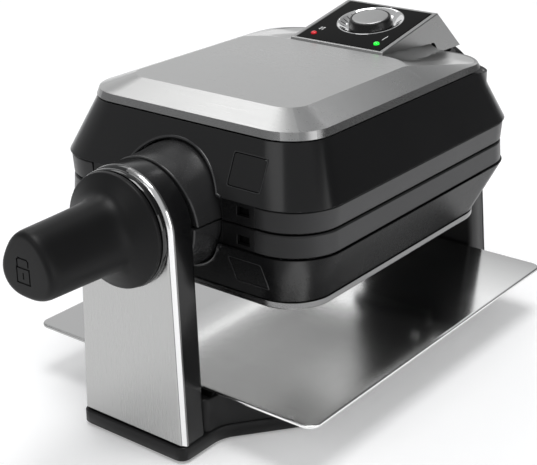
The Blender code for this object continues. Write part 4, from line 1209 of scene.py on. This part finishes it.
def lights():
    for name, turn, rise, distance, wide, tall, radiance in (
        ("back_left", -42.0, 18.0, 2.5, 2.6, 1.15, 0.4),
        ("low_left", -44.0, 1.8, 2.6, 1.9, 0.32, 1.4),
        ("facet", -66.0, 52.0, 2.3, 1.0, 0.8, 2.1),
        ("right", 88.0, 12.0, 2.0, 1.1, 0.95, 1.9),
        ("top", 110.0, 84.0, 2.5, 1.2, 1.2, 7.0),
        ("glint", -14.0, 41.0, 2.4, 0.26, 0.1, 4.0),
        ("front", 185.0, 36.0, 2.6, 1.6, 0.9, 1.4),
    ):
        panel_light("light_" + name, seen_from(turn, rise, distance), wide, tall, radiance)


def surroundings():
    """Even pale room that is darker behind the machine on its right."""
    world = bpy.data.worlds.new("studio")
    world.use_nodes = True
    tree = world.node_tree
    place = tree.nodes.new("ShaderNodeTexCoord")
    along = tree.nodes.new("ShaderNodeVectorMath")
    along.operation = "DOT_PRODUCT"
    along.inputs[1].default_value = (0.67, 0.73, 0.15)
    fade = node_of(tree, "ShaderNodeMapRange", From_Min=0.5, From_Max=0.85, To_Min=0.5, To_Max=0.13)
    fade.interpolation_type = "SMOOTHSTEP"
    tree.links.new(place.outputs["Generated"], along.inputs[0])
    tree.links.new(along.outputs["Value"], fade.inputs["Value"])
    tree.links.new(fade.outputs["Result"], tree.nodes["Background"].inputs["Strength"])
    tree.nodes["Background"].inputs["Color"].default_value = (0.98, 0.99, 1.0, 1.0)
    bpy.context.scene.world = world


def camera():
    """Camera placed by its turn, height and roll about the object."""
    turn = math.radians(37.61)
    rise = math.radians(22.64)
    roll = math.radians(-0.35)
    back = Vector((math.sin(turn) * math.cos(rise), -math.cos(turn) * math.cos(rise), math.sin(rise)))
    right = Vector((math.cos(turn), math.sin(turn), 0.0))
    up = back.cross(right)
    across = right * math.cos(roll) + up * math.sin(roll)
    above = up * math.cos(roll) - right * math.sin(roll)
    data = bpy.data.cameras.new("view")
    data.sensor_width = 36.0
    data.lens = 87.07
    data.shift_x = -0.0093
    data.shift_y = -0.0012
    data.clip_start = 0.05
    made = stand("view", data)
    rows = Matrix((across, above, back)).transposed().to_4x4()
    made.matrix_world = Matrix.Translation((0.4935, -0.6327, 0.4313)) @ rows
    bpy.context.scene.camera = made


def inner_parts():
    for sign in (1, -1):
        keep(title(sign) + "_waffle_plate", "cast", 0.45)
        keep(title(sign) + "_heater", "turned")
        keep(title(sign) + "_reflector", "turned", 0.3)
        keep(title(sign) + "_plate_latch", "mark", 0.4)
    for node in ("front_shaft", "lock_bolt", "front_bearing", "rear_bearing", "rear_shaft", "hinge_pin",
                 "thermostat"):
        keep(node, "turned", 0.3)
    keep("rear_carrier", "plastic", 0.8)
    keep("hinge_lug", "plastic", 0.6)


def main():
    for sign in (1, -1):
        casing_shell(sign)
        release_button(sign)
        plate_band(sign)
        hub_shell(sign)
    upper_cover_skin()
    control_housing()
    lower_cover_skin()
    panel_face()
    panel_marks()
    dial()
    lamps()
    grip()
    padlock_mark()
    collar()
    front_column()
    rear_column()
    base()
    tray()
    inner_parts()
    studio_surface()
    lights()
    surroundings()
    camera()
    bpy.context.scene.view_settings.view_transform = "Standard"


main()
